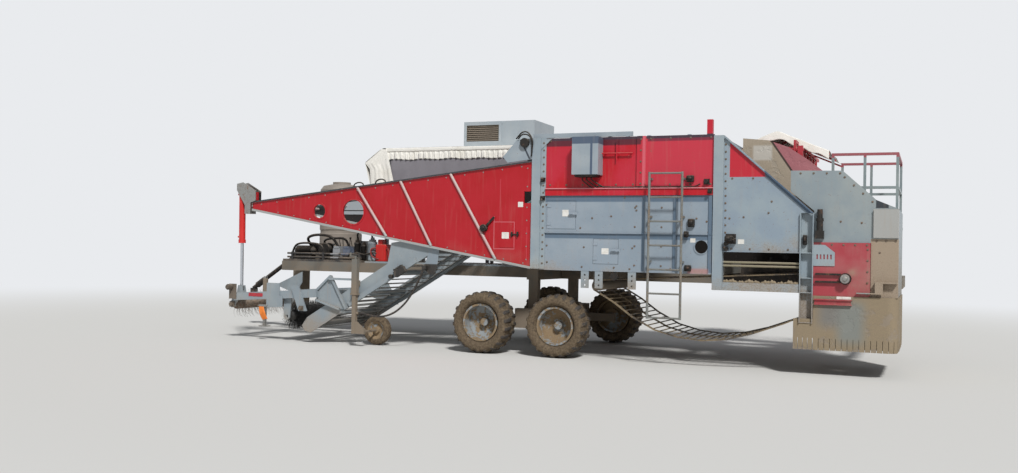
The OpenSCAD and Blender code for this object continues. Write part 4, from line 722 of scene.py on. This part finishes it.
BOWS_X = [-2.66, -1.25, 0.09]
ROOF = [(-2.985, 2.833), (-3.03, 2.98), (-3.075, 3.13), (-3.10, 3.225), (-3.075, 3.262),
        (-2.95, 3.35), (-2.80, 3.452), (-2.735, 3.492), (-2.66, 3.502), (-2.40, 3.50),
        (-1.90, 3.50), (-1.25, 3.502), (-0.60, 3.50), (0.09, 3.502), (0.20, 3.50)]
NEAR_Y, FAR_Y = -0.45, 1.13
VALANCE_H = 0.215


def wrinkles(u, v, size, depth, seed):
    """Soft folds: a sum of six sine waves of near lengths whose directions and starts are drawn
    from one seed."""
    random = np.random.default_rng(seed)
    total = 0
    for _ in range(6):
        angle, start = random.uniform(0, math.pi), random.uniform(0, 6.28)
        wave = size * random.uniform(0.6, 1.6)
        total = total + np.sin((u * math.cos(angle) + v * math.sin(angle)) * TURN / wave + start)
    return depth * total / 6


def down_and_along(start, end, columns, rows):
    """The two coordinates of a sheet's grid: u from start to end, and v from 0 to 1 down it."""
    return np.linspace(start, end, columns)[:, None], np.linspace(0, 1, rows)[None, :]


def canopy_part(name, points, uv, material=CANOPY, **said):
    """A cloth of the canopy from the coordinates of its grid."""
    return cloth_piece(name, together(*points), together(*uv), "canopy_cloth", material, 0.002,
                       offset=0.0, **said)


def canopy():
    """Roof: the outline above carried across the deck. Between two bows it sags by 28 mm, as the
    square of a sine; the hem at its lower end is a half-round roll."""
    x, _, z = smooth_path([(x, 0, z) for x, z in ROOF], 10).T
    far = np.concatenate([[0], np.cumsum(np.hypot(np.diff(x), np.diff(z)))])[:, None]
    v = np.linspace(0, 1, 60)[None, :]
    span = np.interp(x, BOWS_X, [0, 1, 2])[:, None]
    sag = 0.028 * np.sin(span * math.pi) ** 2 * np.sin(v * math.pi) ** 0.5
    cross = 0.010 * np.sin(v * math.pi * 9) ** 2 * (span > 0)
    y = NEAR_Y + (FAR_Y - NEAR_Y) * v
    fold = wrinkles(far, y, 0.5, 0.008, 11)
    at_front = (x < -2.75)[:, None]
    roof = canopy_part("canopy_roof", (x[:, None] - fold * at_front, y,
                                       z[:, None] - sag - cross + fold * 0.7), (far, y),
                       flat=(1.60, 3.82), held="stretched", rests_on=["sorting_deck"])
    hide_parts("canopy_cover")
    # valance: a flat hem of 68 mm, a seam, and below it pleats that open towards the lower edge
    u = np.linspace(-2.66, 0.20, 420)[:, None]
    v = np.array([[0, 0.1, 0.2, 0.29, 0.315, 0.34, 0.37, 0.44, 0.52, 0.6, 0.68, 0.76, 0.84,
                   0.92, 1.0]])
    top = np.interp(u, x[x.argmin():], z[x.argmin():]) - 0.004
    wave = np.sin(u * TURN / 0.105 + 0.9 * np.sin(u * 3.1)) + 0.5 * np.sin(u * TURN / 0.047 + 1.1)
    below = smooth_step(v, 0.32, 0.55)
    drop = VALANCE_H + 0.008 * np.sin(u * 11.0) + 0.005 * wave
    y = NEAR_Y - 0.006 + 0.013 * smooth_step(v, 0.29, 0.33) + 0.013 * below * wave - 0.008 * below
    canopy_part("canopy_valance", (u, y + 0.003 * np.sin(u * 19) * (1 - below), top - drop * v),
                (u, drop * v), flat=(3.5, 0.22), held="gathered", rests_on=[roof])
    # corner: the front end's cloth brought round to the near side, in three soft folds
    s, v = down_and_along(0, 1, 46, 40)
    front_x = np.interp(1 - v, [0, 0.45, 0.62, 1], [-2.975, -2.99, -3.095, -2.74])
    x_points = front_x * (1 - s) + (-2.63 + 0.19 * v) * s
    z_points = 3.488 - (3.488 - 2.80) * v - 0.02 * s
    fold = np.sin(s * TURN * 1.7 + 0.9 * v + 0.4) + 0.35 * np.sin(s * TURN * 5.2 + 2.0 * v)
    y = NEAR_Y - 0.010 + 0.014 * v ** 0.7 * fold - 0.008 * v
    canopy_part("canopy_corner", (x_points, y, z_points), (x_points, z_points),
                flat=(0.55, 0.70), held="hung", rests_on=[roof])
    # near curtain: a mesh inside the valance, in shallow folds 300 mm apart
    u, v = down_and_along(-2.56, 0.20, 150, 24)
    wave = np.sin(u * TURN / 0.3 + 1.2 * np.sin(u * 2.3) + 1.5 * v)
    canopy_part("near_curtain", (u, NEAR_Y + 0.016 + (0.002 + 0.006 * v) * wave, 3.40 - 0.95 * v),
                (u, v), CURTAIN, flat=(2.9, 0.95), held="hung", rests_on=[roof])
    # far curtain: the mesh hangs outside the far posts; its front edge follows the roof's outline
    u, v = down_and_along(0, 1, 160, 30)
    x_points = 0.20 - u * (2.86 + 0.22 * smooth_step(v, 0.02, 0.28))
    y = FAR_Y + 0.010 + (0.004 + 0.014 * v) * (1 + np.sin(x_points * TURN / 0.42))
    z_points = 3.465 - 1.065 * v
    canopy_part("canopy_curtain", (x_points, y, z_points), (x_points, z_points), CURTAIN,
                flat=(3.2, 1.08), held="hung", rests_on=[roof])


canopy()


def tarp():
    """Cover of the discharge conveyor: its outline is drawn over a rounded ridge and carried
    along the conveyor; it sags by 35 mm between its three bows, and its near edge is turned
    down in a flap."""
    ridge = [(4.09, 3.492), (4.25, 3.562), (4.40, 3.618), (4.47, 3.634), (4.56, 3.607),
             (4.80, 3.505), (5.05, 3.40), (5.27, 3.312)]
    line = smooth_path([(x, 0, z) for x, z in ridge], 8)
    far = np.concatenate([[0], np.cumsum(np.linalg.norm(np.diff(line, axis=0), axis=1))])[:, None]
    flap = np.array([[0.125, 0.11, 0.085, 0.06, 0.035, 0.015, 0.004]])
    y = np.concatenate([-0.312 - 0.02 * flap / 0.125, np.linspace(-0.30, 2.20, 83)[None, :]], 1)
    drop = np.concatenate([flap, np.zeros((1, 83))], 1)
    span = np.interp(y, [-0.22, 0.92, 2.12], [0, 1, 2])
    sag = 0.035 * np.sin(span * math.pi) ** 2
    fold = wrinkles(far, y, 0.45, 0.010, 23)
    drop = drop * (1 + 0.12 * np.sin(far * 21) + 0.25 * smooth_step(far, 0.3, 0.0))
    points = together(line[:, :1], y + 0.3 * fold * (drop > 0),
                      line[:, 2:] - sag - drop + 0.5 * fold)
    cover_piece = cloth_piece("discharge_cover", points, together(far, y), "canopy_cloth", CANOPY,
                              0.003, "discharge", flip=True, flat=(1.29, 2.50), held="draped",
                              rests_on=["discharge_conveyor"])
    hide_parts("discharge_tarp")


tarp()

# Skirt round the tail

SKIRT_TOP = 1.10
SKIRT_LOW = 0.36
CUT_Z = SKIRT_LOW + 0.16
BELT = 0.012


def skirt():
    """A belt of rubber bent round the tail's plan: straight, a quarter circle of 150 mm, straight
    across, and back. Its lower 160 mm is cut into strips of 68 mm, each of which swings in by up
    to 14 mm with the square of its depth. A lining hangs 30 mm inside the strips. Both faces and
    all edges are modelled."""
    lo, hi = corners("tail_skirt")
    corner = 0.15
    bend_x = hi[0] - corner
    near_y = lo[1] + corner
    left = bend_x - lo[0]
    back = hi[1] - lo[1] - 2 * corner
    arc = corner * math.pi / 2
    total = 2 * (left + arc) + back

    def plan(s):
        """Place and outward direction at the distance s along the belt."""
        first = np.clip((s - left) / arc, 0, 1) * math.pi / 2
        second = np.clip((s - left - arc - back) / arc, 0, 1) * math.pi / 2
        rear = s < left + arc + back
        zones = [s < left, rear, s < left + 2 * arc + back]
        returning = bend_x - (s - left - 2 * arc - back)
        x = np.select(zones, [lo[0] + s, bend_x + corner * np.sin(first),
                              bend_x + corner * np.cos(second)], returning)
        y = np.where(rear, near_y - corner * np.cos(first) + np.clip(s - left - arc, 0, back),
                     hi[1] - corner + corner * np.sin(second))
        out_x = np.where(rear, np.sin(first), np.cos(second))
        return x, y, out_x, np.where(rear, -np.cos(first), np.sin(second))

    def belt(starts, ends, columns, z_values, swing=0.0, inset=0.0):
        """Pieces of belt from each start to its end, with rows at the heights z_values."""
        starts, ends, z_values = (np.array(a, float, ndmin=1) for a in (starts, ends, z_values))
        s = starts[:, None] + (ends - starts)[:, None] * np.linspace(0, 1, columns)
        x, y, nx, ny = (a[:, None] for a in plan(s))
        rows = len(z_values)
        depth = np.clip((CUT_Z - z_values) / 0.16, 0, 1) ** 2
        push = np.broadcast_to(swing, starts.shape)[:, None, None] * depth[None, :, None]
        outer, inner = (together(x + nx * (push + offset), y + ny * (push + offset),
                                 z_values[None, :, None]) for offset in (-inset, -inset - BELT))
        ring = np.concatenate([outer, inner[:, :, ::-1]], 2)
        caps = [[j, j + 1, 2 * columns - 2 - j, 2 * columns - 1 - j] for j in range(columns - 1)]
        last = (rows - 1) * 2 * columns
        caps += [[last + i for i in reversed(face)] for face in caps]
        faces = np.concatenate([grid_quads(rows, 2 * columns, False, True), np.array(caps)])
        faces = faces[None] + (np.arange(len(starts)) * rows * 2 * columns)[:, None, None]
        return ring, faces.reshape(-1, 4)

    random = np.random.default_rng(31)
    pitch, half_cut = 0.075, 0.0035
    starts = np.arange(0.0, total - 0.06, pitch)
    swing = np.minimum(random.uniform(-0.014, 0.004, len(starts)), 0.0)
    z_values = np.linspace(CUT_Z, SKIRT_LOW, 9)
    ends = np.minimum(starts + pitch - half_cut, total)
    strips = belt(starts + half_cut, ends, 5, z_values, swing)
    upper = belt(0, total, 150, [SKIRT_TOP, 0.80, CUT_Z])
    # the skirt laps forward under the leg post's foot
    lap = belt(-0.26, -0.0005, 12, [0.78, CUT_Z])
    starts = -0.26 + np.arange(4) * 0.065
    lap_strips = belt(starts, starts + 0.058, 5, z_values, [-0.006, -0.012, -0.003, -0.009])
    lining = belt(0, total, 150, [0.64, 0.52, SKIRT_LOW + 0.03], inset=0.030)
    solid("skirt_strips", [upper, strips, lap, lap_strips, lining], SKIRT,
          instead_of="tail_skirt")


skirt()

# Gauge wheel


def gauge_tyre():
    """Semi-pneumatic tyre and pressed disc: two profiles turned round the axle."""
    lo, hi = corners("gauge_wheel")
    centre = (lo + hi) / 2
    half = (hi[1] - lo[1]) / 2
    r = (hi[2] - lo[2]) / 2
    a = np.linspace(0, TURN, 40, endpoint=False)
    across = half * pinched(np.sin(a), 0.6)
    radius = (r - 0.055) + 0.055 * pinched(np.cos(a), 0.6)
    turn = round_steps(72)[:, None]
    # 36 shallow grooves across the tread
    radius = radius - 0.003 * (np.abs((turn * 36 / TURN) % 1 - 0.5) < 0.3) * (radius > r - 0.02)
    points = about_axle(centre, radius, across, turn)
    solid("gauge_tyre", [(points, grid_quads(72, 40, True, True))], TYRE, "gauge", True,
          "gauge_wheel")
    rim = r - 0.10
    disc = [(-half + 0.012, 0.02), (-half + 0.012, 0.05), (-0.012, 0.062), (-0.012, rim - 0.05),
            (-half + 0.02, rim - 0.01), (-half + 0.008, rim + 0.004), (half - 0.008, rim + 0.004),
            (half - 0.02, rim - 0.01), (-0.004, rim - 0.05), (-0.004, 0.062), (half - 0.012, 0.05),
            (half - 0.012, 0.02)]
    solid("gauge_disc", [turned(disc, centre, "y", 56)], RIM_PAINT, "gauge",
          instead_of="gauge_wheel")


gauge_tyre()

# Fasteners, plates and small fittings


def search_trees(*names):
    return [BVHTree.FromPolygons([v.co for v in mesh.vertices], [p.vertices for p in mesh.polygons])
            for mesh in (NODES[name].data for name in names)]


SIDE_TREES = {
    -1: search_trees("left_gray_panel", "left_red_panel", "left_posts", "door_upper", "door_lower",
                     "rear_side_panel", "rear_hood", "rear_red_panels", "boom_panels", "boom_frame",
                     "control_box", "header_arms", "elevator_frame", "tail_skirt", "front_head",
                     "tail_drive", "drive_fittings"),
    1: search_trees("right_wall", "right_red_panel")}
BOLTED_FROM = {-1: 2.40, 1: 1.0}  # a sheet that lies further in than this carries no bolts


def face_y(x, z, side=-1):
    """Where a line from outside meets the machine's left side first at a place x, z; side 1 is
    the right one."""
    hits = [tree.ray_cast((x, 3.2 * side, z), (0, -side, 0))[0] for tree in SIDE_TREES[side]]
    return max([hit[1] for hit in hits if hit is not None], key=lambda y: y * side, default=None)


def bolts(name, rows, material=RUSTY_STEEL, side=-1, extra=(), across=0.019, height=0.011,
          washer=0.016):
    """Rows of hexagon bolt heads on washers, each from (x, z) to (x, z) at a pitch, and extra
    ones. A head is a profile of six sides that is chamfered at the top; one with no sheet under
    it is left out."""
    places = []
    for x0, z0, x1, z1, pitch in rows:
        count = max(2, int(round(math.hypot(x1 - x0, z1 - z0) / pitch)) + 1)
        t = np.linspace(0, 1, count)
        places += zip(x0 + (x1 - x0) * t, z0 + (z1 - z0) * t)
    found = [(x, face_y(x, z, side), z) for x, z in places + list(extra)]
    seats = np.array([p for p in found if p[1] is not None and p[1] * side > BOLTED_FROM[side]])
    rings = [(0.0, washer), (0.003, washer), (0.003, across / 1.9), (height * 0.8, across / 1.9),
             (height, across / 2.3)]
    head = np.array([(r * math.cos(a), side * h, r * math.sin(a))
                     for h, r in rings for a in round_steps(6)])
    faces = tube_faces(len(rings), 6)
    solid(name, [(seat + head, faces) for seat in seats], material)


ODD_BOLTS = [(2.779, 2.321), (2.78, 2.26), (2.396, 2.171), (2.10, 2.142), (1.916, 1.994),
             (1.381, 1.721), (1.978, 1.706), (2.727, 1.702), (2.69, 1.396), (3.816, 2.102),
             (3.67, 2.145), (4.68, 2.229), (4.72, 2.388), (4.337, 2.168), (4.14, 2.15),
             (5.637, 2.116), (5.908, 2.101), (6.141, 1.702), (1.39, 1.47), (1.95, 1.41),
             (2.45, 1.41), (3.30, 1.41), (1.37, 2.34), (2.60, 2.45)]
bolts("strip_bolts", [(1.315, 1.45, 1.315, 3.28, 0.107), (4.085, 1.74, 4.072, 3.20, 0.108)])
bolts("sheet_bolts", [(1.42, 2.64, 2.72, 2.64, 0.26), (1.42, 3.31, 1.80, 3.31, 0.26),
                      (2.98, 2.64, 3.86, 2.64, 0.29), (2.98, 3.31, 3.86, 3.31, 0.29),
                      (4.17, 2.715, 4.75, 2.715, 0.29), (4.17, 1.72, 4.95, 1.72, 0.26),
                      (2.76, 2.30, 2.76, 1.45, 0.28), (3.16, 2.30, 3.16, 1.45, 0.28),
                      (2.842, 2.65, 2.842, 3.30, 0.16)], extra=ODD_BOLTS)
bolts("hood_bolts", [(5.10, 2.78, 5.62, 2.775, 0.17), (5.68, 2.72, 6.04, 2.385, 0.165),
                     (5.38, 1.80, 5.98, 1.80, 0.15), (5.99, 1.74, 5.99, 1.14, 0.15),
                     (6.10, 1.86, 6.34, 1.86, 0.12)])
bolts("boom_bolts", [(-3.9, 2.345, 0.95, 2.925, 0.33), (-3.55, 2.205, 1.0, 1.445, 0.33),
                     (1.05, 1.50, 1.05, 2.30, 0.2), (1.05, 2.62, 1.05, 2.90, 0.2)],
      WORN_STEEL, across=0.015, height=0.008, washer=0.012)
# the right side's sheets, by symmetry
bolts("right_side_bolts", [(1.40, 3.28, 3.85, 3.28, 0.272), (1.40, 2.62, 3.85, 2.62, 0.272),
                           (1.31, 1.45, 1.31, 3.25, 0.15), (1.45, 2.36, 3.85, 2.36, 0.30),
                           (1.45, 1.45, 3.85, 1.45, 0.30), (4.0, 1.70, 4.0, 3.15, 0.145)], side=1)


def plate(x0, x1, z0, z1):
    """A blank plate of 2 mm on the left side."""
    y = face_y((x0 + x1) / 2, (z0 + z1) / 2)
    return rounded_block((x0, y - 0.002, z0), (x1, y + 0.001, z1), 0.10)


solid("side_plates", [plate(0.64, 0.76, 1.815, 1.915), plate(3.585, 3.66, 1.80, 1.86),
                      plate(4.26, 4.35, 1.79, 1.855), plate(0.90, 0.985, 2.305, 2.385)],
      LABEL)
solid("upper_door_plate", [plate(1.625, 1.725, 2.165, 2.265)], LABEL, "upper_door")
solid("lower_door_plate", [plate(2.255, 2.365, 1.605, 1.695)], LABEL, "lower_door")


def iron(name, parts, smooth=False):
    solid(name, parts, BLACK_IRON, smooth=smooth)


def block(name, lo, hi, edge, material, body="chassis"):
    solid(name, [rounded_block(lo, hi, edge)], material, body)


def side_fittings():
    """The boom hatch's latch, valves beside the ladder, the control box's glands, the tail's hub
    and the soil on the lower beam."""
    y = face_y(0.86, 1.95)
    iron("hatch_latch", [
        rounded_block((x0, y - deep, z0), (x1, y, z1), 0.3) for x0, x1, deep, z0, z1 in (
            (0.79, 0.93, 0.02, 1.872, 1.893), (0.80, 0.825, 0.03, 1.845, 1.925),
            (0.895, 0.92, 0.03, 1.845, 1.925))])
    blocks = []
    for x, z, w, h in ((3.575, 2.715, 0.055, 0.05), (3.60, 2.08, 0.05, 0.06),
                       (3.535, 1.915, 0.035, 0.045), (3.56, 1.43, 0.05, 0.045),
                       (4.15, 1.86, 0.05, 0.04), (4.215, 1.835, 0.03, 0.035),
                       (5.17, 1.86, 0.03, 0.07)):
        y = face_y(x, z)
        blocks += [rounded_block((x - w, y - 0.05, z - h), (x + w, y, z + h), 0.3),
                   rounded_block((x - w * 0.5, y - 0.085, z - h * 0.4),
                                 (x + w * 0.55, y - 0.045, z + h * 0.5), 0.6)]
    iron("side_valves", blocks)
    lo, hi = corners("control_box")
    middle = (lo[0] + hi[0]) / 2
    parts = [rounded_block((lo[0] + 0.03, lo[1] + 0.02, lo[2] - 0.035),
                           (hi[0] - 0.03, -2.515, lo[2] + 0.002), 0.2)]
    for i, x in enumerate((middle - 0.08, middle - 0.02, middle + 0.05)):
        bends = [(0, -2.60, 0.01), (0.01 * i, -2.60, 0.07), (0.05 + 0.02 * i, -2.585, 0.12),
                 (0.10 + 0.03 * i, -2.552, 0.165), (0.13 + 0.03 * i, -2.53, 0.185)]
        parts.append(pipe([(x + dx, y, lo[2] - down) for dx, y, down in bends], 0.009, 6))
    iron("control_box_glands", parts, True)
    # hub on the tail's roller: a machined flange and a bearing cap
    y = face_y(5.712, 1.34)
    hub = [(-0.032, 0.0), (-0.032, 0.022), (-0.026, 0.03), (-0.014, 0.034), (-0.012, 0.06),
           (0.002, 0.064), (0.002, 0.0)]
    solid("tail_hub", [turned([(y + h, r) for h, r in hub], (5.712, 0, 1.34), "y", 40)],
          WORN_STEEL)
    # dried soil on the lower beam: a ridge whose height is a sum of four sines
    x, v = down_and_along(4.07, 5.10, 240, 7)
    top = (0.028 + 0.012 * np.sin(x * 23) + 0.010 * np.sin(x * 57 + 1) + 0.006 * np.sin(x * 141)
           + 0.004 * np.sin(x * 331))
    z = 1.248 + np.maximum(top, 0.006) * np.sin(v * math.pi) ** 0.6
    y = -2.532 + 0.085 * v + 0.004 * np.sin(x * 83) * np.sin(v * math.pi)
    solid("soil_ridge", [(together(x, y, z), tube_faces(240, 7))], SKIRT,
          smooth=True)


side_fittings()
block("red_channel_web", (5.312, -2.534, 0.982), (5.788, -2.5185, 1.056), 0.1,
      TAIL_RED)
block("pale_plate", (5.60, -2.522, 1.062), (5.788, -2.5185, 1.098), 0.1, LABEL)


def header_small_parts():
    """Reflector, and a warning flap with its clamp, on the header's left arm."""
    y = face_y(-3.95, 0.787)
    block("arm_reflector", (-4.07, y - 0.006, 0.757), (-3.78, y + 0.001, 0.816), 0.12,
          REFLECTOR, "header")
    # flap: a fabric-backed vinyl tongue that swings a little forward; a grid bent along its length
    u, v = down_and_along(0, 1, 22, 8)
    knots = [0, 0.5, 1]
    lx, lz = np.interp(u, knots, [-3.835, -3.80, -3.752]), np.interp(u, knots, [0.60, 0.47, 0.365])
    rx, rz = np.interp(u, knots, [-3.735, -3.69, -3.645]), np.interp(u, knots, [0.60, 0.50, 0.385])
    y0 = face_y(-3.66, 0.60)
    y = y0 - 0.012 - 0.018 * np.sin(u * math.pi) + 0.006 * np.sin(v * TURN) * u
    cloth_piece("warning_flap", together(lx + (rx - lx) * v, y, lz + (rz - lz) * v), together(u, v),
                "red_paint", ORANGE, 0.003, "header", flat=(0.11, 0.26), held="hung",
                rests_on=["header_arms"])
    block("flap_clamp", (-3.84, y0 - 0.02, 0.59), (-3.66, y0 + 0.004, 0.625), 0.3,
          WORN_STEEL, "header")


header_small_parts()


def apron():
    """Rubber apron behind the rear window: a sheet bolted to the chamber wall's lower edge, with
    a slow wave of 6 mm along it. The dark sheet is painted shade: it fills the window, where the
    machine's inside lies in shade."""
    u, v = down_and_along(3.62, 5.24, 90, 14)
    points = together(u, -0.786 + 0.006 * v * np.sin(u * 9.0),
                      1.52 - 0.35 * v + 0.004 * v * np.sin(u * 31))
    cloth_piece("chamber_apron", points, together(u, v), "skirt_rubber", HOSE, 0.005,
                flat=(1.62, 0.35), held="hung", rests_on=["chamber_wall"])


apron()


def pack_machinery():
    """What stands between the pumps and the sorting deck: filter cans, a finned motor on its
    saddle, a red guard, and hard steel pipes bent from one to the next."""
    rings = [(0.0, 0.0), (0.0, 0.72), (0.03, 0.94), (0.08, 1.0), (0.70, 1.0), (0.715, 1.07),
             (0.80, 1.07), (0.815, 0.8), (0.90, 0.78), (0.91, 0.45), (0.995, 0.42), (1.0, 0.0)]
    can, second_can, pale_can = (
        turned([(h * height, r * radius) for h, r in rings], place, "z", 32)
        for place, radius, height in (((-3.23, -0.44, 1.388), 0.062, 0.42),
                                      ((-3.085, -0.44, 1.388), 0.05, 0.36),
                                      ((-2.87, -0.50, 1.378), 0.085, 0.45)))
    iron("filter_cans", [can, second_can], True)
    solid("pale_filter", [pale_can], BOX_GRAY, smooth=True)
    fins = [(0.04 + 0.022 * i + d, r) for i in range(15)
            for d, r in ((0, 0.085), (0.001, 0.108), (0.010, 0.108), (0.011, 0.085))]
    finned = [(0, 0.0), (0, 0.07), (0.03, 0.085), *fins, (0.385, 0.09), (0.40, 0.075), (0.43, 0.04),
              (0.45, 0.0)]
    iron("fan_motor", [turned(finned, (-2.44, -0.47, 1.575), "x", 36),
                       rounded_block((-2.40, -0.55, 1.377), (-2.04, -0.39, 1.50), 0.2)])
    drum = [(0, 0.0), (0, 0.125), (0.012, 0.135), (0.03, 0.135), (0.032, 0.10), (0.17, 0.10),
            (0.172, 0.135), (0.19, 0.135), (0.20, 0.06), (0.23, 0.055), (0.235, 0.0)]
    iron("hose_drum", [turned(drum, (-3.93, -0.52, 1.575), "y", 40),
                       rounded_block((-4.03, -0.50, 1.388), (-3.83, -0.36, 1.50), 0.2)])
    iron("charge_pump", [turned(finned, (-4.66, -0.36, 1.545), "x", 36),
                         rounded_block((-4.60, -0.44, 1.388), (-4.28, -0.28, 1.47), 0.2)])
    ball = [(0, 0), (0.006, 0.013), (0.018, 0.017), (0.030, 0.013), (0.036, 0)]
    levers = []
    for x, lean in ((-3.66, -0.012), (-3.60, 0.0), (-3.46, 0.012), (-3.40, -0.012)):
        levers += [tube([(x, -0.36, 1.645), (x + lean, -0.37, 1.72), (x + 2 * lean, -0.385, 1.80)],
                        0.007, 8), turned(ball, (x + 2 * lean, -0.385, 1.79), "z", 14)]
    iron("valve_levers", levers, True)
    solid("belt_guard", [rounded_block((-2.75, -0.60, 1.377), (-2.53, -0.36, 1.70), 0.16),
                         rounded_block((-2.72, -0.57, 1.66), (-2.62, -0.42, 1.79), 0.2)],
          CYLINDER_RED)
    dark = [(0.026, (-4.36, -0.25, 1.60), (-4.36, -0.42, 1.79), (-4.10, -0.50, 1.86),
             (-3.80, -0.48, 1.82), (-3.66, -0.42, 1.63)),
            (0.022, (-4.15, -0.12, 1.60), (-4.05, -0.30, 1.76), (-3.70, -0.46, 1.80),
             (-3.50, -0.46, 1.78), (-3.42, -0.42, 1.63)),
            (0.018, (-3.23, -0.44, 1.79), (-3.20, -0.48, 1.90), (-3.03, -0.52, 1.93),
             (-2.90, -0.52, 1.89), (-2.87, -0.50, 1.81)),
            (0.016, (-3.36, -0.55, 1.47), (-3.16, -0.60, 1.53), (-2.98, -0.61, 1.50),
             (-2.80, -0.60, 1.54), (-2.70, -0.58, 1.52)),
            (0.020, (-4.62, -0.58, 1.47), (-4.50, -0.60, 1.66), (-4.25, -0.60, 1.70),
             (-3.95, -0.60, 1.66), (-3.88, -0.58, 1.50)),
            (0.016, (-2.00, -0.47, 1.575), (-1.85, -0.54, 1.62), (-1.55, -0.58, 1.58),
             (-1.25, -0.58, 1.47), (-1.15, -0.57, 1.375))]
    iron("pack_pipes", [pipe(route, radius) for radius, *route in dark], True)
    ruddy = [[(-2.73, -0.56, 1.64), (-2.83, -0.615, 1.60), (-2.81, -0.62, 1.48),
              (-2.70, -0.61, 1.43), (-2.66, -0.57, 1.42)],
             [(-2.55, -0.56, 1.62), (-2.46, -0.62, 1.60), (-2.40, -0.62, 1.48),
              (-2.33, -0.60, 1.41), (-2.28, -0.57, 1.372)]]
    solid("ruddy_pipes", [pipe(route, 0.014) for route in ruddy], RUDDY, smooth=True)


pack_machinery()


def boom_top_pipes():
    """Hard pipes: two loops over the boom's upper flange, two by the head plate's pulley, and
    the conduit that lies along the red ledge; and the cap of the header's pivot."""
    loops = []
    for x in (-1.97, -1.555):
        flange_z = 2.394 + (x + 4.08) * 0.1198
        loops.append([(x + dx, -2.50, flange_z + dz) for dx, dz in (
            (-0.10, -0.02), (-0.075, 0.035), (0, 0.062), (0.075, 0.045), (0.10, -0.015))])
    for reach in (0.0, 0.035):
        loops.append([(0.90 - reach, -2.555, 3.355), (0.97, -2.575, 3.415 + reach),
                      (1.07, -2.575, 3.405 + reach), (1.125 + reach * 0.4, -2.57, 3.32),
                      (1.13, -2.562, 3.18), (1.12, -2.556, 3.08)])
    iron("boom_top_pipes", [pipe(loop, 0.011) for loop in loops], True)
    ledge = [(2.17, -2.535, 2.615), (2.4, -2.532, 2.604), (2.7, -2.532, 2.600),
             (2.84, -2.56, 2.606), (2.96, -2.535, 2.600), (3.3, -2.532, 2.601),
             (3.62, -2.532, 2.604), (3.72, -2.54, 2.64)]
    iron("ledge_conduit", [pipe(ledge, 0.009, 10)], True)
    x, z = 0.346, 1.976  # the header's pivot in the boom
    y = face_y(x, z)
    cap = [(-0.034, 0.0), (-0.034, 0.018), (-0.028, 0.024), (-0.022, 0.025), (-0.021, 0.05),
           (-0.014, 0.058), (0.002, 0.058), (0.002, 0.0)]
    iron("pivot_cap", [turned([(y + h, r) for h, r in cap], (x, 0, z), "y", 36)])


boom_top_pipes()

# Floor, light and background

BACKGROUND = "#e9ebee"
FLOOR_REACH = 160.0
FADE = (9.0, 26.0)  # the floor turns into the background between these distances


def seen_directly(tree):
    """1 for rays from the camera, straight, mirrored or let through, and 0 for those of light."""
    rays = add(tree, "LightPath")
    seen = maths(tree, "MAXIMUM", rays.outputs["Is Camera Ray"], rays.outputs["Is Glossy Ray"])
    return maths(tree, "MAXIMUM", seen, rays.outputs["Is Transmission Ray"])


def stage():
    """A floor that fades into the plain background, one soft sun and an even sky."""
    floor = bpy.data.meshes.new("floor")
    signs = ((-1, -1), (1, -1), (1, 1), (-1, 1))
    floor.from_pydata([(x * FLOOR_REACH, y * FLOOR_REACH, 0) for x, y in signs], [], [(0, 1, 2, 3)])
    material, tree, place = new_material("pale_floor")
    away = add(tree, "VectorMath", {0: place}, operation="LENGTH").outputs["Value"]
    far = maths(tree, "MULTIPLY", ramp(tree, away, *FADE), seen_directly(tree))
    near = add(tree, "BsdfDiffuse", {"Color": linear("#dcdad5")})
    glow = add(tree, "Emission", {"Color": linear(BACKGROUND), "Strength": 1.0})
    both = add(tree, "MixShader", {0: far, 1: near.outputs[0], 2: glow.outputs[0]})
    add(tree, "OutputMaterial", {"Surface": both.outputs[0]})
    floor.materials.append(material)
    piece = bpy.data.objects.new("floor", floor)
    bpy.context.scene.collection.objects.link(piece)
    sun = bpy.data.lights.new("soft_sun", "SUN")
    sun.energy = 2.9
    sun.angle = math.radians(7)
    lamp = bpy.data.objects.new("soft_sun", sun)
    towards = np.array([0.45, -0.62, 0.75])
    yaw = math.atan2(towards[0], -towards[1])
    tilt = math.acos(towards[2] / np.linalg.norm(towards))
    lamp.rotation_euler = (tilt, 0, yaw)
    bpy.context.scene.collection.objects.link(lamp)
    bpy.context.scene.world = world = bpy.data.worlds.new("even_sky")
    world.use_nodes = True
    tree = world.node_tree
    tree.nodes.clear()
    fill = add(tree, "Background", {"Color": linear("#e3e9f2"), "Strength": 0.34})
    pale = add(tree, "Background", {"Color": linear(BACKGROUND), "Strength": 1.0})
    both = add(tree, "MixShader", {0: seen_directly(tree), 1: fill.outputs[0], 2: pale.outputs[0]})
    add(tree, "OutputWorld", {"Surface": both.outputs[0]})
    bpy.context.scene.view_settings.view_transform = "Standard"


stage()
